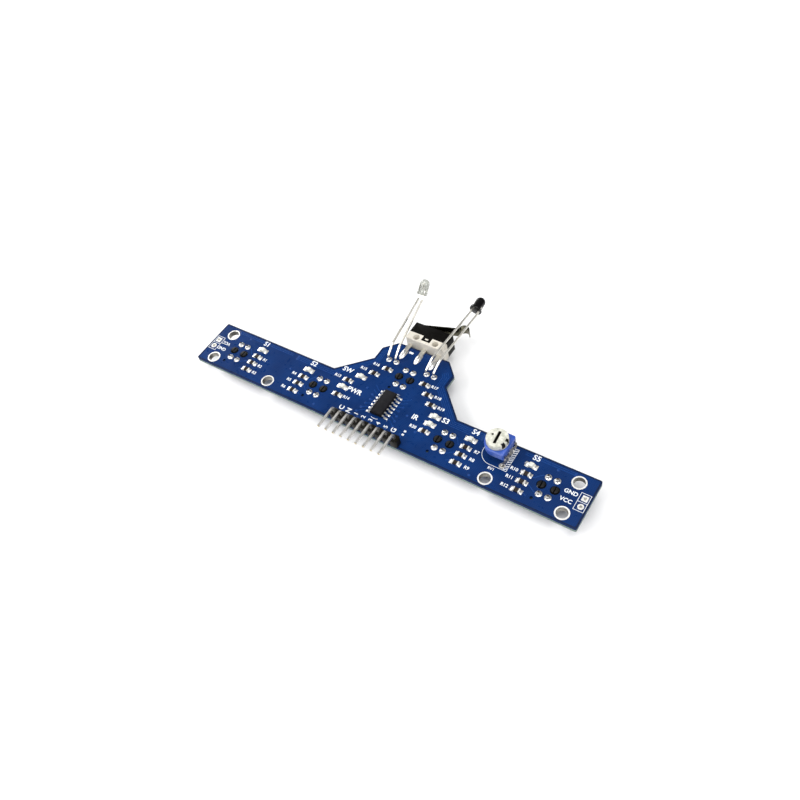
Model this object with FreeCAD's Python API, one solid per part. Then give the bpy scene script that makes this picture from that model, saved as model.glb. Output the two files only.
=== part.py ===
"""Five-channel line-following sensor board, built piece by piece.

Frame: +X runs along the bar, +Y points out of the nose (the way the robot drives), +Z is up.
The origin is the middle of the four corner screw holes, on the underside of the board.
Every length is in millimetres and every angle in degrees.
"""
import FreeCAD
import Part
import math
import os

V = FreeCAD.Vector

# ---------------------------------------------------------------- driving dimensions: board
board_length = 128.0
bar_width = 15.4
board_thickness = 1.6
corner_radius = 0.5
nose_root_half = 21.35       # half width where the slopes leave the bar
nose_half = 12.5             # half width of the straight sides of the nose
nose_tip_half = 8.7          # half width of the front edge
nose_slope_rise = 8.65       # bar edge to the straight sides
nose_side_length = 4.4
nose_front_rise = 3.85       # straight sides to the front edge

# ---------------------------------------------------------------- screw holes and pads
screw_hole_radius = 1.6      # M3 with room
screw_ring_radius = 2.0
plating = 0.05
corner_hole_end = 5.0        # each end of the bar to the corner holes
corner_hole_near = 2.5       # header edge of the board to the near row of holes
corner_hole_far = 3.1        # far edge of the bar to the far row of holes
bar_hole_pitch_x = 74.3
power_pad_hole_radius = 0.5
power_pad_pitch = 2.54
power_pad_inset = 1.75       # from each end of the bar
power_pad_y = 0.05
alignment_hole_radius = 0.45
alignment_hole_offset = (-2.4, -4.6)

# ---------------------------------------------------------------- reflective line sensors
outer_sensor_end = 11.3      # each end of the bar to the middle of the outer sensors
inner_sensor_x = 21.6
bar_sensor_y = 0.1
nose_sensor_y = 13.9
sensor_width = 5.8
sensor_length = 10.2
sensor_height = 4.8
sensor_roof = 1.0
sensor_corner = 0.4
sensor_wall = 0.7            # long side of the housing to its windows
sensor_window_y = 4.0
sensor_element_y = 2.75      # emitter and detector either side of the middle
sensor_element_gap = 0.1
sensor_lens_radius = 1.7
sensor_lens_rise = 0.9
sensor_lens_recess = 0.5
sensor_lead_pitch = 2.54
sensor_lead_size = 0.5
sensor_lead_hole_radius = 0.5
sensor_lead_depth = 1.2      # how far a lead is cast into its element
sensor_lead_above = 1.1
peg_radius = 1.0
peg_clearance = 0.3
peg_above = 0.35
peg_slot = 0.35
peg_slot_floor = 0.4          # board underside to the bottom of the split

# ---------------------------------------------------------------- pin header
header_pins_count = 9
header_pitch = 2.54
header_edge = 1.0             # header edge of the board to the row of pins
header_block = 2.54
header_chamfer = 0.45
header_pin_size = 0.64
header_pin_hole_radius = 0.52
header_pin_bend_height = 4.4  # board top to the middle of the level run
header_pin_reach = 7.1        # bend to tip
header_pin_below = 1.4
header_bend_radius = 0.75

# ---------------------------------------------------------------- comparator chip (14 leads)
chip_y = 3.2
chip_length = 8.65
chip_width = 3.9
chip_height = 1.45
chip_standoff = 0.15
chip_lead_pitch = 1.27
chip_lead_width = 0.42
chip_lead_thickness = 0.2
chip_lead_span = 6.4
chip_foot_length = 0.75
chip_shoulder = 0.35
chip_leads_per_side = 7
chip_draft = 0.18
chip_lead_level = 0.45        # share of the body height at which the leads leave it
chip_lead_root = 0.5          # how far the leads run into the body
chip_notch_radius = 0.55
chip_notch_depth = 0.12
chip_mark_radius = 0.35
chip_mark_depth = 0.08
chip_mark_inset = (0.95, 1.1)

# ---------------------------------------------------------------- chip resistors and lamps
resistor_length = 2.0
resistor_width = 1.25
resistor_height = 0.5
resistor_cap = 0.4
resistor_cap_wall = 0.04
lamp_length = 2.0
lamp_width = 1.25
lamp_base_height = 0.3
lamp_lens_height = 0.5
lamp_lens_length = 1.3
lamp_end_bite = 0.3
lamp_lens_chamfer = 0.2
chip_part_lift = 0.03         # solder film under a chip part

bank_outer_step = 6.7         # outer sensors inwards to their column of parts
bank_inner_step = 6.3         # inner sensors outwards to their column of parts
bank_rows_y = (1.1, -1.55, -4.35)
bank_lamp_y = 3.95
nose_resistors = (
    (-14.8, 6.0), (-14.7, 0.3), (-9.1, 11.55), (-6.4, 14.6),
    (6.6, 14.45), (9.3, 11.65), (12.1, 9.0), (15.0, 0.55),
)
switch_lamp_place = (-12.0, 8.85)
power_lamp_place = (-14.85, 3.35)
middle_lamp_place = (15.2, 6.1)
proximity_lamp_place = (15.2, 3.3)

# ---------------------------------------------------------------- trimmer potentiometer
trimmer_x = 37.05
trimmer_y = 3.0
trimmer_body_radius = 3.5
trimmer_flat_x = 3.45         # rotor axis to the flat face that carries the legs
trimmer_body_height = 2.1
trimmer_corner = 0.4
trimmer_lift = 4.5            # board top to the underside of the body
trimmer_floor = 0.6
trimmer_wall = 0.8
trimmer_hub_radius = 1.2
trimmer_hub_clearance = 0.05
trimmer_rotor_radius = 3.0
trimmer_rotor_head = 1.8
trimmer_rotor_rim = 0.25
trimmer_rotor_gap = 0.1
trimmer_track_gap = 0.1       # wall to the ceramic ring
trimmer_skirt_gap = 0.2       # wall to the skirt of the rotor
trimmer_track_bore = 1.6
trimmer_track_thickness = 0.4
trimmer_wiper_thickness = 0.15
trimmer_wiper_lift = 0.25     # track to the underside of the contact washer
trimmer_wiper_inset = 0.2     # edge of the skirt to the edge of the washer
trimmer_finger = (0.5, 0.35)
trimmer_finger_gap = 0.1
trimmer_slot_width = 0.8
trimmer_slot_length = 4.0
trimmer_slot_depth = 2.2
trimmer_dot_place = (-1.5, 0.5)
trimmer_dot_radius = 0.35
trimmer_dot_depth = 0.3
trimmer_rim_notch = (1.0, 0.75)
trimmer_rim_notch_depth = 1.6
trimmer_rim_notch_turns = (2.0, -33.0)
trimmer_rest_turn = 4.7
trimmer_foot_radius = 1.9
trimmer_foot_height = 0.5
trimmer_foot_gap = 0.1
trimmer_leg_pitch = 2.5
trimmer_leg_width = 0.6
trimmer_leg_thickness = 0.35
trimmer_leg_pad_x = 2.25      # rotor axis to the leg holes in the board
trimmer_leg_hole_radius = 0.5
trimmer_leg_out = 0.45        # how far the legs stand off the flat face
trimmer_leg_root = 0.7        # how far the legs run into the body
trimmer_leg_below = 1.0
trimmer_leg_drop = 0.95       # underside of the body to the knee of a leg
trimmer_leg_straight = 0.85   # board top to the ankle of a leg
trimmer_leg_slant = 0.05

# ---------------------------------------------------------------- proximity lamp and receiver
nose_parts_x = -0.25          # middle of the parts mounted at the nose
proximity_pair_half = 6.55
proximity_lead_y = 18.05
proximity_lead_pitch = 2.54
proximity_lead_size = 0.5
proximity_lead_hole_radius = 0.45
proximity_lead_below = 0.9
proximity_lens_radius = 1.5
proximity_lens_length = 4.7
proximity_flange_height = 0.9
proximity_head_neck = 1.2     # last bend of the leads to the head
emitter_flange_radius = 1.6
receiver_flange_radius = 1.95
receiver_flat = 1.6
proximity_lead_cast = 1.6     # how far the leads run into the plastic
proximity_lead_bend = 0.9
# lead routes from the board to the head: sideways, forward and above the board top
emitter_lead_route = ((0.0, 0.0, 1.6), (0.0, 3.05, 4.2), (-0.05, 18.9, 10.0))
emitter_head_rise = 46.0
emitter_head_twist = 38.0
receiver_lead_route = ((0.0, 0.0, 1.6), (0.3, 3.6, 3.75), (1.8, 23.7, 5.1))
receiver_head_rise = 9.0
receiver_head_twist = 10.0

# ---------------------------------------------------------------- lever switch
switch_length = 12.8
switch_depth = 6.5
switch_thickness = 5.8
switch_gap = 0.6              # front edge of the board to the switch
switch_base_depth = 2.7
switch_wall = 0.55
switch_hole_pitch = 6.5
switch_hole_radius = 1.0
switch_hole_edge = 1.3
switch_corner = 0.5
switch_cover_corner = 0.3
switch_plug_height = 0.7
switch_plug_gap = 0.1
switch_blade_end = 1.32        # each end of the switch to the outer terminal's middle
switch_blade_width = 1.4
switch_post_width = 1.0        # width of a terminal inside the cover
switch_blade_thickness = 0.35
switch_blade_reach = 5.0
switch_blade_lift = 0.05
switch_contact_height = 1.0
switch_tab_half = 1.5
switch_tab_drop = 1.8
switch_tab_thickness = 0.5
switch_window = (1.3, 0.7)
switch_catch = (1.0, 0.45)
switch_snap_thickness = 0.12
switch_snap_width = 2.2
switch_snap_slit = 0.7
switch_snap_land = 2.0        # each end of the snap blade to its slit

lever_hinge_inset = 0.9       # left end of the switch to the hinge
lever_hinge_depth = 0.6       # front of the switch back to the hinge
lever_angle = 17.65           # free position, away from the body
lever_arm_offset = 0.9        # hinge to the middle of the strip
lever_strip_thickness = 0.25
lever_strip_width = 3.4
lever_strip_start = 0.5       # how far the strip runs on past the hinge
lever_straight = 12.2
lever_bump_radius = 1.5
lever_cheek_radius = 0.75
lever_cheek_thickness = 0.25
lever_cheek_gap = 0.1
lever_boss_radius = 0.4
lever_boss_clearance = 0.05
lever_pocket_relief = 0.35
lever_pocket_wall = 0.4

plunger_arm = 4.4             # hinge to the plunger along the switch
plunger_radius = 0.7
plunger_clearance = 0.08
plunger_foot_radius = 1.2
plunger_foot_height = 0.4
plunger_lever_gap = 0.12
plunger_foot_gap = 0.05       # foot to the inside of the cover
plunger_tip = 0.25            # rounding of the outer end

# ---------------------------------------------------------------- solder fillets: foot, neck, height
sensor_solder = (0.85, 0.35, 0.75)
proximity_solder = (0.8, 0.35, 0.8)
header_solder = (0.85, 0.4, 0.8)
trimmer_solder = (0.8, 0.35, 0.7)
proximity_solder_low = (0.8, 0.35, 0.6)

# ---------------------------------------------------------------- worked out from the above
top = board_thickness
corner_hole_pitch_x = board_length - 2 * corner_hole_end
corner_hole_pitch_y = bar_width - corner_hole_near - corner_hole_far
near_edge = -(corner_hole_pitch_y / 2 + corner_hole_near)
far_edge = near_edge + bar_width
front_edge = far_edge + nose_slope_rise + nose_side_length + nose_front_rise
half_length = board_length / 2
outer_sensor_x = half_length - outer_sensor_end
bank_outer_x = outer_sensor_x - bank_outer_step
bank_inner_x = inner_sensor_x + bank_inner_step
header_y = near_edge + header_edge
sensor_window_x = sensor_width - 2 * sensor_wall
switch_blade_pitch = (switch_length - 2 * switch_blade_end) / 2
peg_pitch = sensor_width - 2 * peg_radius
trimmer_cavity_radius = trimmer_body_radius - trimmer_wall
trimmer_track_radius = trimmer_cavity_radius - trimmer_track_gap
trimmer_skirt_radius = trimmer_cavity_radius - trimmer_skirt_gap

tiny = 1e-4                   # closeness at which two places count as the same
overlap = 0.1                 # how far joined pieces run into each other
beyond = 30.0                 # a height or reach that clears every part, for cutting tools


# ---------------------------------------------------------------- small shape helpers
def box(x0, x1, y0, y1, z0, z1):
    """A block between two corners."""
    return Part.makeBox(x1 - x0, y1 - y0, z1 - z0, V(x0, y0, z0))


def centred_box(x, y, size_x, size_y, z0, z1):
    """A block of the given plan size, centred on a point."""
    return box(x - size_x / 2, x + size_x / 2, y - size_y / 2, y + size_y / 2, z0, z1)


def rod(x, y, radius, z0, z1):
    """An upright cylinder."""
    return Part.makeCylinder(radius, z1 - z0, V(x, y, z0))


def rod_along_y(x, z, radius, y0, y1):
    """A level cylinder along Y."""
    return Part.makeCylinder(radius, y1 - y0, V(x, y0, z), V(0, 1, 0))


def prism(points, z0, z1):
    """A closed outline of (x, y) points, raised from z0 to z1."""
    ring = [V(x, y, z0) for x, y in points]
    wire = Part.makePolygon(ring + [ring[0]])
    return Part.Face(wire).extrude(V(0, 0, z1 - z0))


def joined(shapes):
    """One solid from pieces that touch or overlap."""
    first = shapes[0]
    whole = first.fuse(shapes[1:]) if len(shapes) > 1 else first
    return whole.removeSplitter()


def group(shapes):
    """Separate solids kept together as one node."""
    return Part.makeCompound(shapes)


def less(shape, tools):
    """The shape with every tool cut out of it."""
    return shape.cut(tools)


def upright_edges(shape, places):
    """The upright edges of a shape that stand on the given (x, y) places."""
    found = []
    for edge in shape.Edges:
        a = edge.Vertexes[0].Point
        b = edge.Vertexes[-1].Point
        if abs(a.x - b.x) > tiny or abs(a.y - b.y) > tiny:
            continue
        if any(math.hypot(a.x - x, a.y - y) < tiny for x, y in places):
            found.append(edge)
    return found


def rounded_path(points, radius):
    """Straight runs through the points, with an arc of the radius at every corner."""
    edges = []
    start = V(*points[0])
    for before, corner, after in zip(points, points[1:], points[2:]):
        corner = V(*corner)
        back = (V(*before) - corner).normalize()
        ahead = (V(*after) - corner).normalize()
        half_turn = math.acos(max(-1.0, min(1.0, -back.dot(ahead)))) / 2
        trim = radius * math.tan(half_turn)
        enter = corner + back * trim
        leave = corner + ahead * trim
        middle_way = (back + ahead).normalize()
        middle = corner + middle_way * (radius / math.cos(half_turn) - radius)
        edges.append(Part.LineSegment(start, enter).toShape())
        edges.append(Part.Arc(enter, middle, leave).toShape())
        start = leave
    edges.append(Part.LineSegment(start, V(*points[-1])).toShape())
    return Part.Wire(edges)


def square_wire_along(points, size, radius):
    """A square wire swept along a route with rounded corners, upright at its start."""
    x, y, z = points[0]
    half = size / 2
    section = Part.makePolygon([
        V(x - half, y - half, z), V(x + half, y - half, z),
        V(x + half, y + half, z), V(x - half, y + half, z), V(x - half, y - half, z),
    ])
    return rounded_path(points, radius).makePipeShell([section], True, False)


def solder_cone(place, z, sizes, way):
    """A solder fillet round a lead, on the face of the board at z; way is 1 up or -1 down."""
    foot, neck, height = sizes
    return Part.makeCone(foot, neck, height, V(*place, z), V(0, 0, way))


# ---------------------------------------------------------------- places
def sensor_places():
    """The five line sensors, from left to right."""
    return [
        (-outer_sensor_x, bar_sensor_y),
        (-inner_sensor_x, bar_sensor_y),
        (0.0, nose_sensor_y),
        (inner_sensor_x, bar_sensor_y),
        (outer_sensor_x, bar_sensor_y),
    ]


def screw_places():
    """The four corner holes and the two holes between them."""
    half_x = corner_hole_pitch_x / 2
    half_y = corner_hole_pitch_y / 2
    corners = [(sx * half_x, sy * half_y) for sx in (-1, 1) for sy in (-1, 1)]
    middles = [(sx * bar_hole_pitch_x / 2, -half_y) for sx in (-1, 1)]
    return corners + middles


def header_places():
    """The nine header pins."""
    first = -(header_pins_count - 1) / 2 * header_pitch
    return [(first + n * header_pitch, header_y) for n in range(header_pins_count)]


def power_pad_places():
    """A pair of power pads at each end of the bar."""
    x = half_length - power_pad_inset
    half = power_pad_pitch / 2
    return [(sx * x, power_pad_y + sy * half) for sx in (-1, 1) for sy in (-1, 1)]


def sensor_lead_places(place):
    """The four leads of one sensor: two emitter leads, then two detector leads."""
    x, y = place
    half = sensor_lead_pitch / 2
    return [(x + sx * half, y + sy * sensor_element_y) for sy in (1, -1) for sx in (-1, 1)]


def peg_places(place):
    """The two snap pegs of one sensor."""
    x, y = place
    return [(x + sx * peg_pitch / 2, y) for sx in (-1, 1)]


def resistor_places():
    """Three resistors beside each bar sensor and eight on the nose."""
    columns = (-bank_outer_x, -bank_inner_x, bank_inner_x, bank_outer_x)
    banks = [(x, y) for x in columns for y in bank_rows_y]
    return banks + list(nose_resistors)


def lamp_places():
    """The eight indicator lamps by name."""
    return {
        "lamp_sensor_1": (-bank_outer_x, bank_lamp_y),
        "lamp_sensor_2": (-bank_inner_x, bank_lamp_y),
        "lamp_sensor_3": middle_lamp_place,
        "lamp_sensor_4": (bank_inner_x, bank_lamp_y),
        "lamp_sensor_5": (bank_outer_x, bank_lamp_y),
        "lamp_proximity": proximity_lamp_place,
        "lamp_switch": switch_lamp_place,
        "lamp_power": power_lamp_place,
    }


def trimmer_leg_places():
    """The three leg holes of the trimmer."""
    x = trimmer_x + trimmer_leg_pad_x
    return [(x, trimmer_y + n * trimmer_leg_pitch) for n in (-1, 0, 1)]


def proximity_lead_places(side):
    """The two leads of the emitter (side -1) or of the receiver (side 1)."""
    x = nose_parts_x + side * proximity_pair_half
    half = proximity_lead_pitch / 2
    return [(x + s * half, proximity_lead_y) for s in (-1, 1)]


# ---------------------------------------------------------------- board
def make_board():
    """The glass-epoxy board with its nose and all its holes."""
    slope_end = far_edge + nose_slope_rise
    side_end = slope_end + nose_side_length
    right = [
        (half_length, near_edge), (half_length, far_edge), (nose_root_half, far_edge),
        (nose_half, slope_end), (nose_half, side_end), (nose_tip_half, front_edge),
    ]
    left = [(-x, y) for x, y in reversed(right)]
    board = prism(right + left, 0, top)
    sharp = [(s * x, y) for s in (-1, 1) for x, y in (right[0], right[1], right[4], right[5])]
    board = board.makeFillet(corner_radius, upright_edges(board, sharp))

    holes = [(x, y, screw_hole_radius + plating) for x, y in screw_places()]
    holes += [(x, y, power_pad_hole_radius) for x, y in power_pad_places()]
    holes += [(x, y, header_pin_hole_radius) for x, y in header_places()]
    holes += [(x, y, trimmer_leg_hole_radius) for x, y in trimmer_leg_places()]
    for place in sensor_places():
        holes += [(x, y, sensor_lead_hole_radius) for x, y in sensor_lead_places(place)]
        holes += [(x, y, peg_radius + peg_clearance) for x, y in peg_places(place)]
        dx, dy = alignment_hole_offset
        holes.append((place[0] + dx, place[1] + dy, alignment_hole_radius))
    for side in (-1, 1):
        holes += [(x, y, proximity_lead_hole_radius) for x, y in proximity_lead_places(side)]
    return less(board, [rod(x, y, r, -beyond, beyond) for x, y, r in holes])


def make_screw_rings():
    """Tinned eyelets that line the six screw holes and ring them on both faces."""
    rings = []
    for x, y in screw_places():
        flange_low = rod(x, y, screw_ring_radius, -plating, 0)
        barrel = rod(x, y, screw_hole_radius + plating, -plating, top + plating)
        flange_high = rod(x, y, screw_ring_radius, top, top + plating)
        whole = joined([flange_low, barrel, flange_high])
        rings.append(whole.cut(rod(x, y, screw_hole_radius, -beyond, beyond)))
    return group(rings)


# ---------------------------------------------------------------- line sensors
def make_sensor_leads(place):
    """Four square leads, cast into the elements and run up through the board."""
    low = -sensor_roof - sensor_lead_depth
    high = top + sensor_lead_above
    size = sensor_lead_size
    return [centred_box(x, y, size, size, low, high) for x, y in sensor_lead_places(place)]


def make_sensor_element(place, side, leads):
    """An emitter (side 1) or detector (side -1): a cast block with a domed face."""
    x, y = place
    y += side * sensor_element_y
    gap = sensor_element_gap
    face = -sensor_height + sensor_lens_recess
    dome_rise = sensor_lens_rise
    block = centred_box(
        x, y, sensor_window_x - 2 * gap, sensor_window_y - 2 * gap, face + dome_rise, -sensor_roof)
    ball_radius = (sensor_lens_radius ** 2 + dome_rise ** 2) / (2 * dome_rise)
    ball = Part.makeSphere(ball_radius, V(x, y, face + ball_radius))
    column = rod(x, y, sensor_lens_radius, face - overlap, face + dome_rise + overlap)
    dome = ball.common(column)
    return joined([block, dome]).cut(leads)


def make_sensor_housing(place):
    """The black housing: two windows facing down and two split pegs through the board."""
    x, y = place
    body = centred_box(x, y, sensor_width, sensor_length, -sensor_height, 0)
    upright = [e for e in body.Edges if abs(e.Length - sensor_height) < tiny]
    body = body.makeFillet(sensor_corner, upright)
    windows = [
        centred_box(x, y + s * sensor_element_y, sensor_window_x, sensor_window_y,
                    -beyond, -sensor_roof)
        for s in (-1, 1)
    ]
    passages = [
        rod(lx, ly, sensor_lead_hole_radius, -sensor_roof - overlap, overlap)
        for lx, ly in sensor_lead_places(place)
    ]
    body = less(body, windows + passages)
    pegs = []
    for px, py in peg_places(place):
        peg = rod(px, py, peg_radius, -overlap, top + peg_above)
        slot = centred_box(px, py, peg_slot, 3 * peg_radius, peg_slot_floor, beyond)
        pegs.append(peg.cut(slot))
    return joined([body] + pegs)


# ---------------------------------------------------------------- header
def make_header():
    """Insulator strip and nine square pins that turn level over the board edge."""
    half = header_block / 2
    cut = header_chamfer
    blocks = []
    for x, y in header_places():
        outline = [
            (x - half, y - half + cut), (x - half + cut, y - half),
            (x + half - cut, y - half), (x + half, y - half + cut),
            (x + half, y + half - cut), (x + half - cut, y + half),
            (x - half + cut, y + half), (x - half, y + half - cut),
        ]
        blocks.append(prism(outline, top, top + header_block))
    pins = []
    level = top + header_pin_bend_height
    for x, y in header_places():
        route = [(x, y, -header_pin_below), (x, y, level), (x, y - header_pin_reach, level)]
        pins.append(square_wire_along(route, header_pin_size, header_bend_radius))
    strip = joined(blocks)
    openings = [
        centred_box(x, y, header_pin_size, header_pin_size, 0, beyond)
        for x, y in header_places()
    ]
    return less(strip, openings), group(pins)


# ---------------------------------------------------------------- comparator chip
def make_chip():
    """The moulded body with drafted sides, and its fourteen gull-wing leads."""
    low = top + chip_standoff
    middle = low + chip_height * chip_lead_level
    high = low + chip_height
    half_x = chip_width / 2
    half_y = chip_length / 2

    def layer(inset, z):
        a = half_x - inset
        b = half_y - inset
        corners = [V(sx * a, chip_y + sy * b, z) for sx, sy in ((-1, -1), (1, -1), (1, 1), (-1, 1))]
        return Part.makePolygon(corners + [corners[0]])

    lower = Part.makeLoft([layer(chip_draft, low), layer(0, middle)], True)
    upper = Part.makeLoft([layer(0, middle), layer(chip_draft, high)], True)
    body = lower.fuse(upper)
    notch = rod(0, chip_y - half_y, chip_notch_radius, high - chip_notch_depth, beyond)
    mark_x, mark_y = chip_mark_inset
    mark = rod(mark_x - half_x, chip_y - half_y + mark_y, chip_mark_radius,
               high - chip_mark_depth, beyond)

    thick = chip_lead_thickness
    leads = []
    first = chip_y - (chip_leads_per_side - 1) / 2 * chip_lead_pitch
    for side in (-1, 1):
        for n in range(chip_leads_per_side):
            y = first + n * chip_lead_pitch
            foot_end = chip_lead_span / 2
            foot_start = foot_end - chip_foot_length
            shoulder = half_x + chip_shoulder
            root = half_x - chip_lead_root
            profile = [
                (root, middle - thick / 2), (shoulder, middle - thick / 2),
                (foot_start, top + chip_part_lift), (foot_end, top + chip_part_lift),
                (foot_end, top + chip_part_lift + thick),
                (foot_start + thick, top + chip_part_lift + thick),
                (shoulder + thick, middle + thick / 2), (root, middle + thick / 2),
            ]
            ring = [V(side * x, y - chip_lead_width / 2, z) for x, z in profile]
            face = Part.Face(Part.makePolygon(ring + [ring[0]]))
            leads.append(face.extrude(V(0, chip_lead_width, 0)))
    return less(body, [notch, mark] + leads), group(leads)


# ---------------------------------------------------------------- chip resistors and lamps
def make_resistors():
    """Ceramic bodies and the tinned caps over their ends."""
    low = top + chip_part_lift
    wall = resistor_cap_wall
    bodies = []
    caps = []
    for x, y in resistor_places():
        body = centred_box(x, y, resistor_length - 2 * wall, resistor_width - 2 * wall,
                           low + wall, low + resistor_height - wall)
        bodies.append(body)
        for side in (-1, 1):
            outer = side * resistor_length / 2
            inner = side * (resistor_length / 2 - resistor_cap)
            cap = box(x + min(outer, inner), x + max(outer, inner),
                      y - resistor_width / 2, y + resistor_width / 2, low, low + resistor_height)
            caps.append(cap.cut(body))
    return group(bodies), group(caps)


def make_lamp_bases():
    """The substrates of the eight lamps, each with its two tinned ends."""
    low = top + chip_part_lift
    bases = []
    for x, y in lamp_places().values():
        base = centred_box(x, y, lamp_length, lamp_width, low, low + lamp_base_height)
        bites = [rod(x + s * lamp_length / 2, y, lamp_end_bite, 0, beyond) for s in (-1, 1)]
        bases.append(less(base, bites))
    return group(bases)


def make_lamp_lens(place):
    """The cast lens block of one lamp, with sloping ends."""
    x, y = place
    low = top + chip_part_lift + lamp_base_height
    block = centred_box(x, y, lamp_lens_length, lamp_width, low, low + lamp_lens_height)
    corner = [e for e in block.Edges if abs(e.CenterOfMass.z - low - lamp_lens_height) < tiny
              and abs(e.Length - lamp_width) < tiny]
    return block.makeChamfer(lamp_lens_chamfer, corner)


# ---------------------------------------------------------------- trimmer
trimmer_low = top + trimmer_lift
trimmer_high = trimmer_low + trimmer_body_height
trimmer_floor_top = trimmer_low + trimmer_floor
trimmer_leg_z = trimmer_low + trimmer_floor / 2
trimmer_skirt_low = (trimmer_floor_top + trimmer_track_thickness + trimmer_wiper_lift
                     + trimmer_wiper_thickness)


def make_trimmer_legs():
    """Three flat legs: out of the flat face, down, and in to their holes."""
    flat = trimmer_x + trimmer_flat_x
    root = flat - trimmer_leg_root
    out = flat + trimmer_leg_out
    half = trimmer_leg_thickness / 2
    knee = trimmer_low - trimmer_leg_drop
    ankle = top + trimmer_leg_straight
    legs = []
    for x, y in trimmer_leg_places():
        profile = [
            (root, trimmer_leg_z - half), (out - half, trimmer_leg_z - half),
            (out - half, knee + trimmer_leg_slant), (x - half, ankle + trimmer_leg_slant),
            (x - half, -trimmer_leg_below), (x + half, -trimmer_leg_below),
            (x + half, ankle - trimmer_leg_slant), (out + half, knee - trimmer_leg_slant),
            (out + half, trimmer_leg_z + half), (root, trimmer_leg_z + half),
        ]
        ring = [V(px, y - trimmer_leg_width / 2, pz) for px, pz in profile]
        face = Part.Face(Part.makePolygon(ring + [ring[0]]))
        legs.append(face.extrude(V(0, trimmer_leg_width, 0)))
    return legs


def make_trimmer_base(legs):
    """The blue body: round on one side, flat where the legs leave it, hollow inside."""
    x, y, r = trimmer_x, trimmer_y, trimmer_body_radius
    round_part = rod(x, y, r, trimmer_low, trimmer_high)
    square_part = box(x, x + trimmer_flat_x, y - r, y + r, trimmer_low, trimmer_high)
    body = joined([round_part, square_part])
    corners = [(x + trimmer_flat_x, y + s * r) for s in (-1, 1)]
    body = body.makeFillet(trimmer_corner, upright_edges(body, corners))
    cavity = rod(x, y, trimmer_cavity_radius, trimmer_floor_top, beyond)
    bore = rod(x, y, trimmer_hub_radius + trimmer_hub_clearance, 0, beyond)
    return less(body, [cavity, bore] + legs)


def make_trimmer_track():
    """The ceramic ring that carries the carbon track."""
    x, y = trimmer_x, trimmer_y
    high = trimmer_floor_top + trimmer_track_thickness
    ring = rod(x, y, trimmer_track_radius, trimmer_floor_top, high)
    return ring.cut(rod(x, y, trimmer_track_bore, 0, beyond))


def make_trimmer_rotor():
    """The ivory rotor: slotted head, skirt, hub through the floor and a swaged foot."""
    x, y = trimmer_x, trimmer_y
    head_low = trimmer_high + trimmer_rotor_gap
    head_high = head_low + trimmer_rotor_head
    foot_high = trimmer_low - trimmer_foot_gap
    foot_low = foot_high - trimmer_foot_height
    head = rod(x, y, trimmer_rotor_radius, head_low, head_high)
    rim = [e for e in head.Edges if abs(e.CenterOfMass.z - head_high) < tiny]
    head = head.makeFillet(trimmer_rotor_rim, rim)
    skirt = rod(x, y, trimmer_skirt_radius, trimmer_skirt_low, head_low + overlap)
    hub = rod(x, y, trimmer_hub_radius, foot_low, trimmer_skirt_low + overlap)
    foot = rod(x, y, trimmer_foot_radius, foot_low, foot_high)
    slot = centred_box(x, y, trimmer_slot_width, trimmer_slot_length,
                       head_high - trimmer_slot_depth, beyond)
    dot_x, dot_y = trimmer_dot_place
    dot = rod(x + dot_x, y + dot_y, trimmer_dot_radius, head_high - trimmer_dot_depth, beyond)
    wide, deep = trimmer_rim_notch
    notches = []
    for turn in trimmer_rim_notch_turns:
        bite = box(x + trimmer_rotor_radius - deep, x + beyond,
                   y - wide / 2, y + wide / 2, head_high - trimmer_rim_notch_depth, beyond)
        bite.rotate(V(x, y, 0), V(0, 0, 1), turn)
        notches.append(bite)
    rotor = less(joined([head, skirt, hub, foot]), [slot, dot] + notches)
    rotor.rotate(V(x, y, 0), V(0, 0, 1), trimmer_rest_turn)
    return rotor


def make_trimmer_wiper():
    """The sprung contact washer under the rotor's skirt, with its pressed-down finger."""
    x, y = trimmer_x, trimmer_y
    plate_low = trimmer_skirt_low - trimmer_wiper_thickness
    plate = rod(x, y, trimmer_skirt_radius - trimmer_wiper_inset, plate_low, trimmer_skirt_low)
    plate = plate.cut(rod(x, y, trimmer_hub_radius, 0, beyond))
    drop = trimmer_wiper_lift - trimmer_finger_gap
    wide, deep = trimmer_finger
    finger_y = (trimmer_track_radius + trimmer_track_bore) / 2
    finger = centred_box(x, y + finger_y, wide, deep, plate_low - drop, plate_low)
    return joined([plate, finger])


# ---------------------------------------------------------------- proximity pair
def head_frame(side, route, rise):
    """Where the head starts and which way it points."""
    x = nose_parts_x + side * proximity_pair_half
    a, b, c = route[-1]
    slope = math.radians(rise)
    return V(x + a, proximity_lead_y + b, top + c), V(0, math.cos(slope), math.sin(slope))


def make_proximity_leads(side, route, rise, twist):
    """Two square leads that leave the board, lean forward and turn into the head."""
    base, way = head_frame(side, route, rise)
    x = nose_parts_x + side * proximity_pair_half
    line = [V(x, proximity_lead_y, -proximity_lead_below)]
    line += [V(x + a, proximity_lead_y + b, top + c) for a, b, c in route[:-1]]
    line += [base - way * proximity_head_neck, base + way * proximity_lead_cast]
    level = V(1, 0, 0)
    turn = math.radians(twist)
    twisted = level * math.cos(turn) + way.cross(level) * -math.sin(turn)
    leads = []
    for s in (-1, 1):
        half = s * proximity_lead_pitch / 2
        at_board = [point + level * half for point in line[:-2]]
        at_head = [point + twisted * half for point in line[-2:]]
        points = [(point.x, point.y, point.z) for point in at_board + at_head]
        leads.append(square_wire_along(points, proximity_lead_size, proximity_lead_bend))
    return leads


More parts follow.
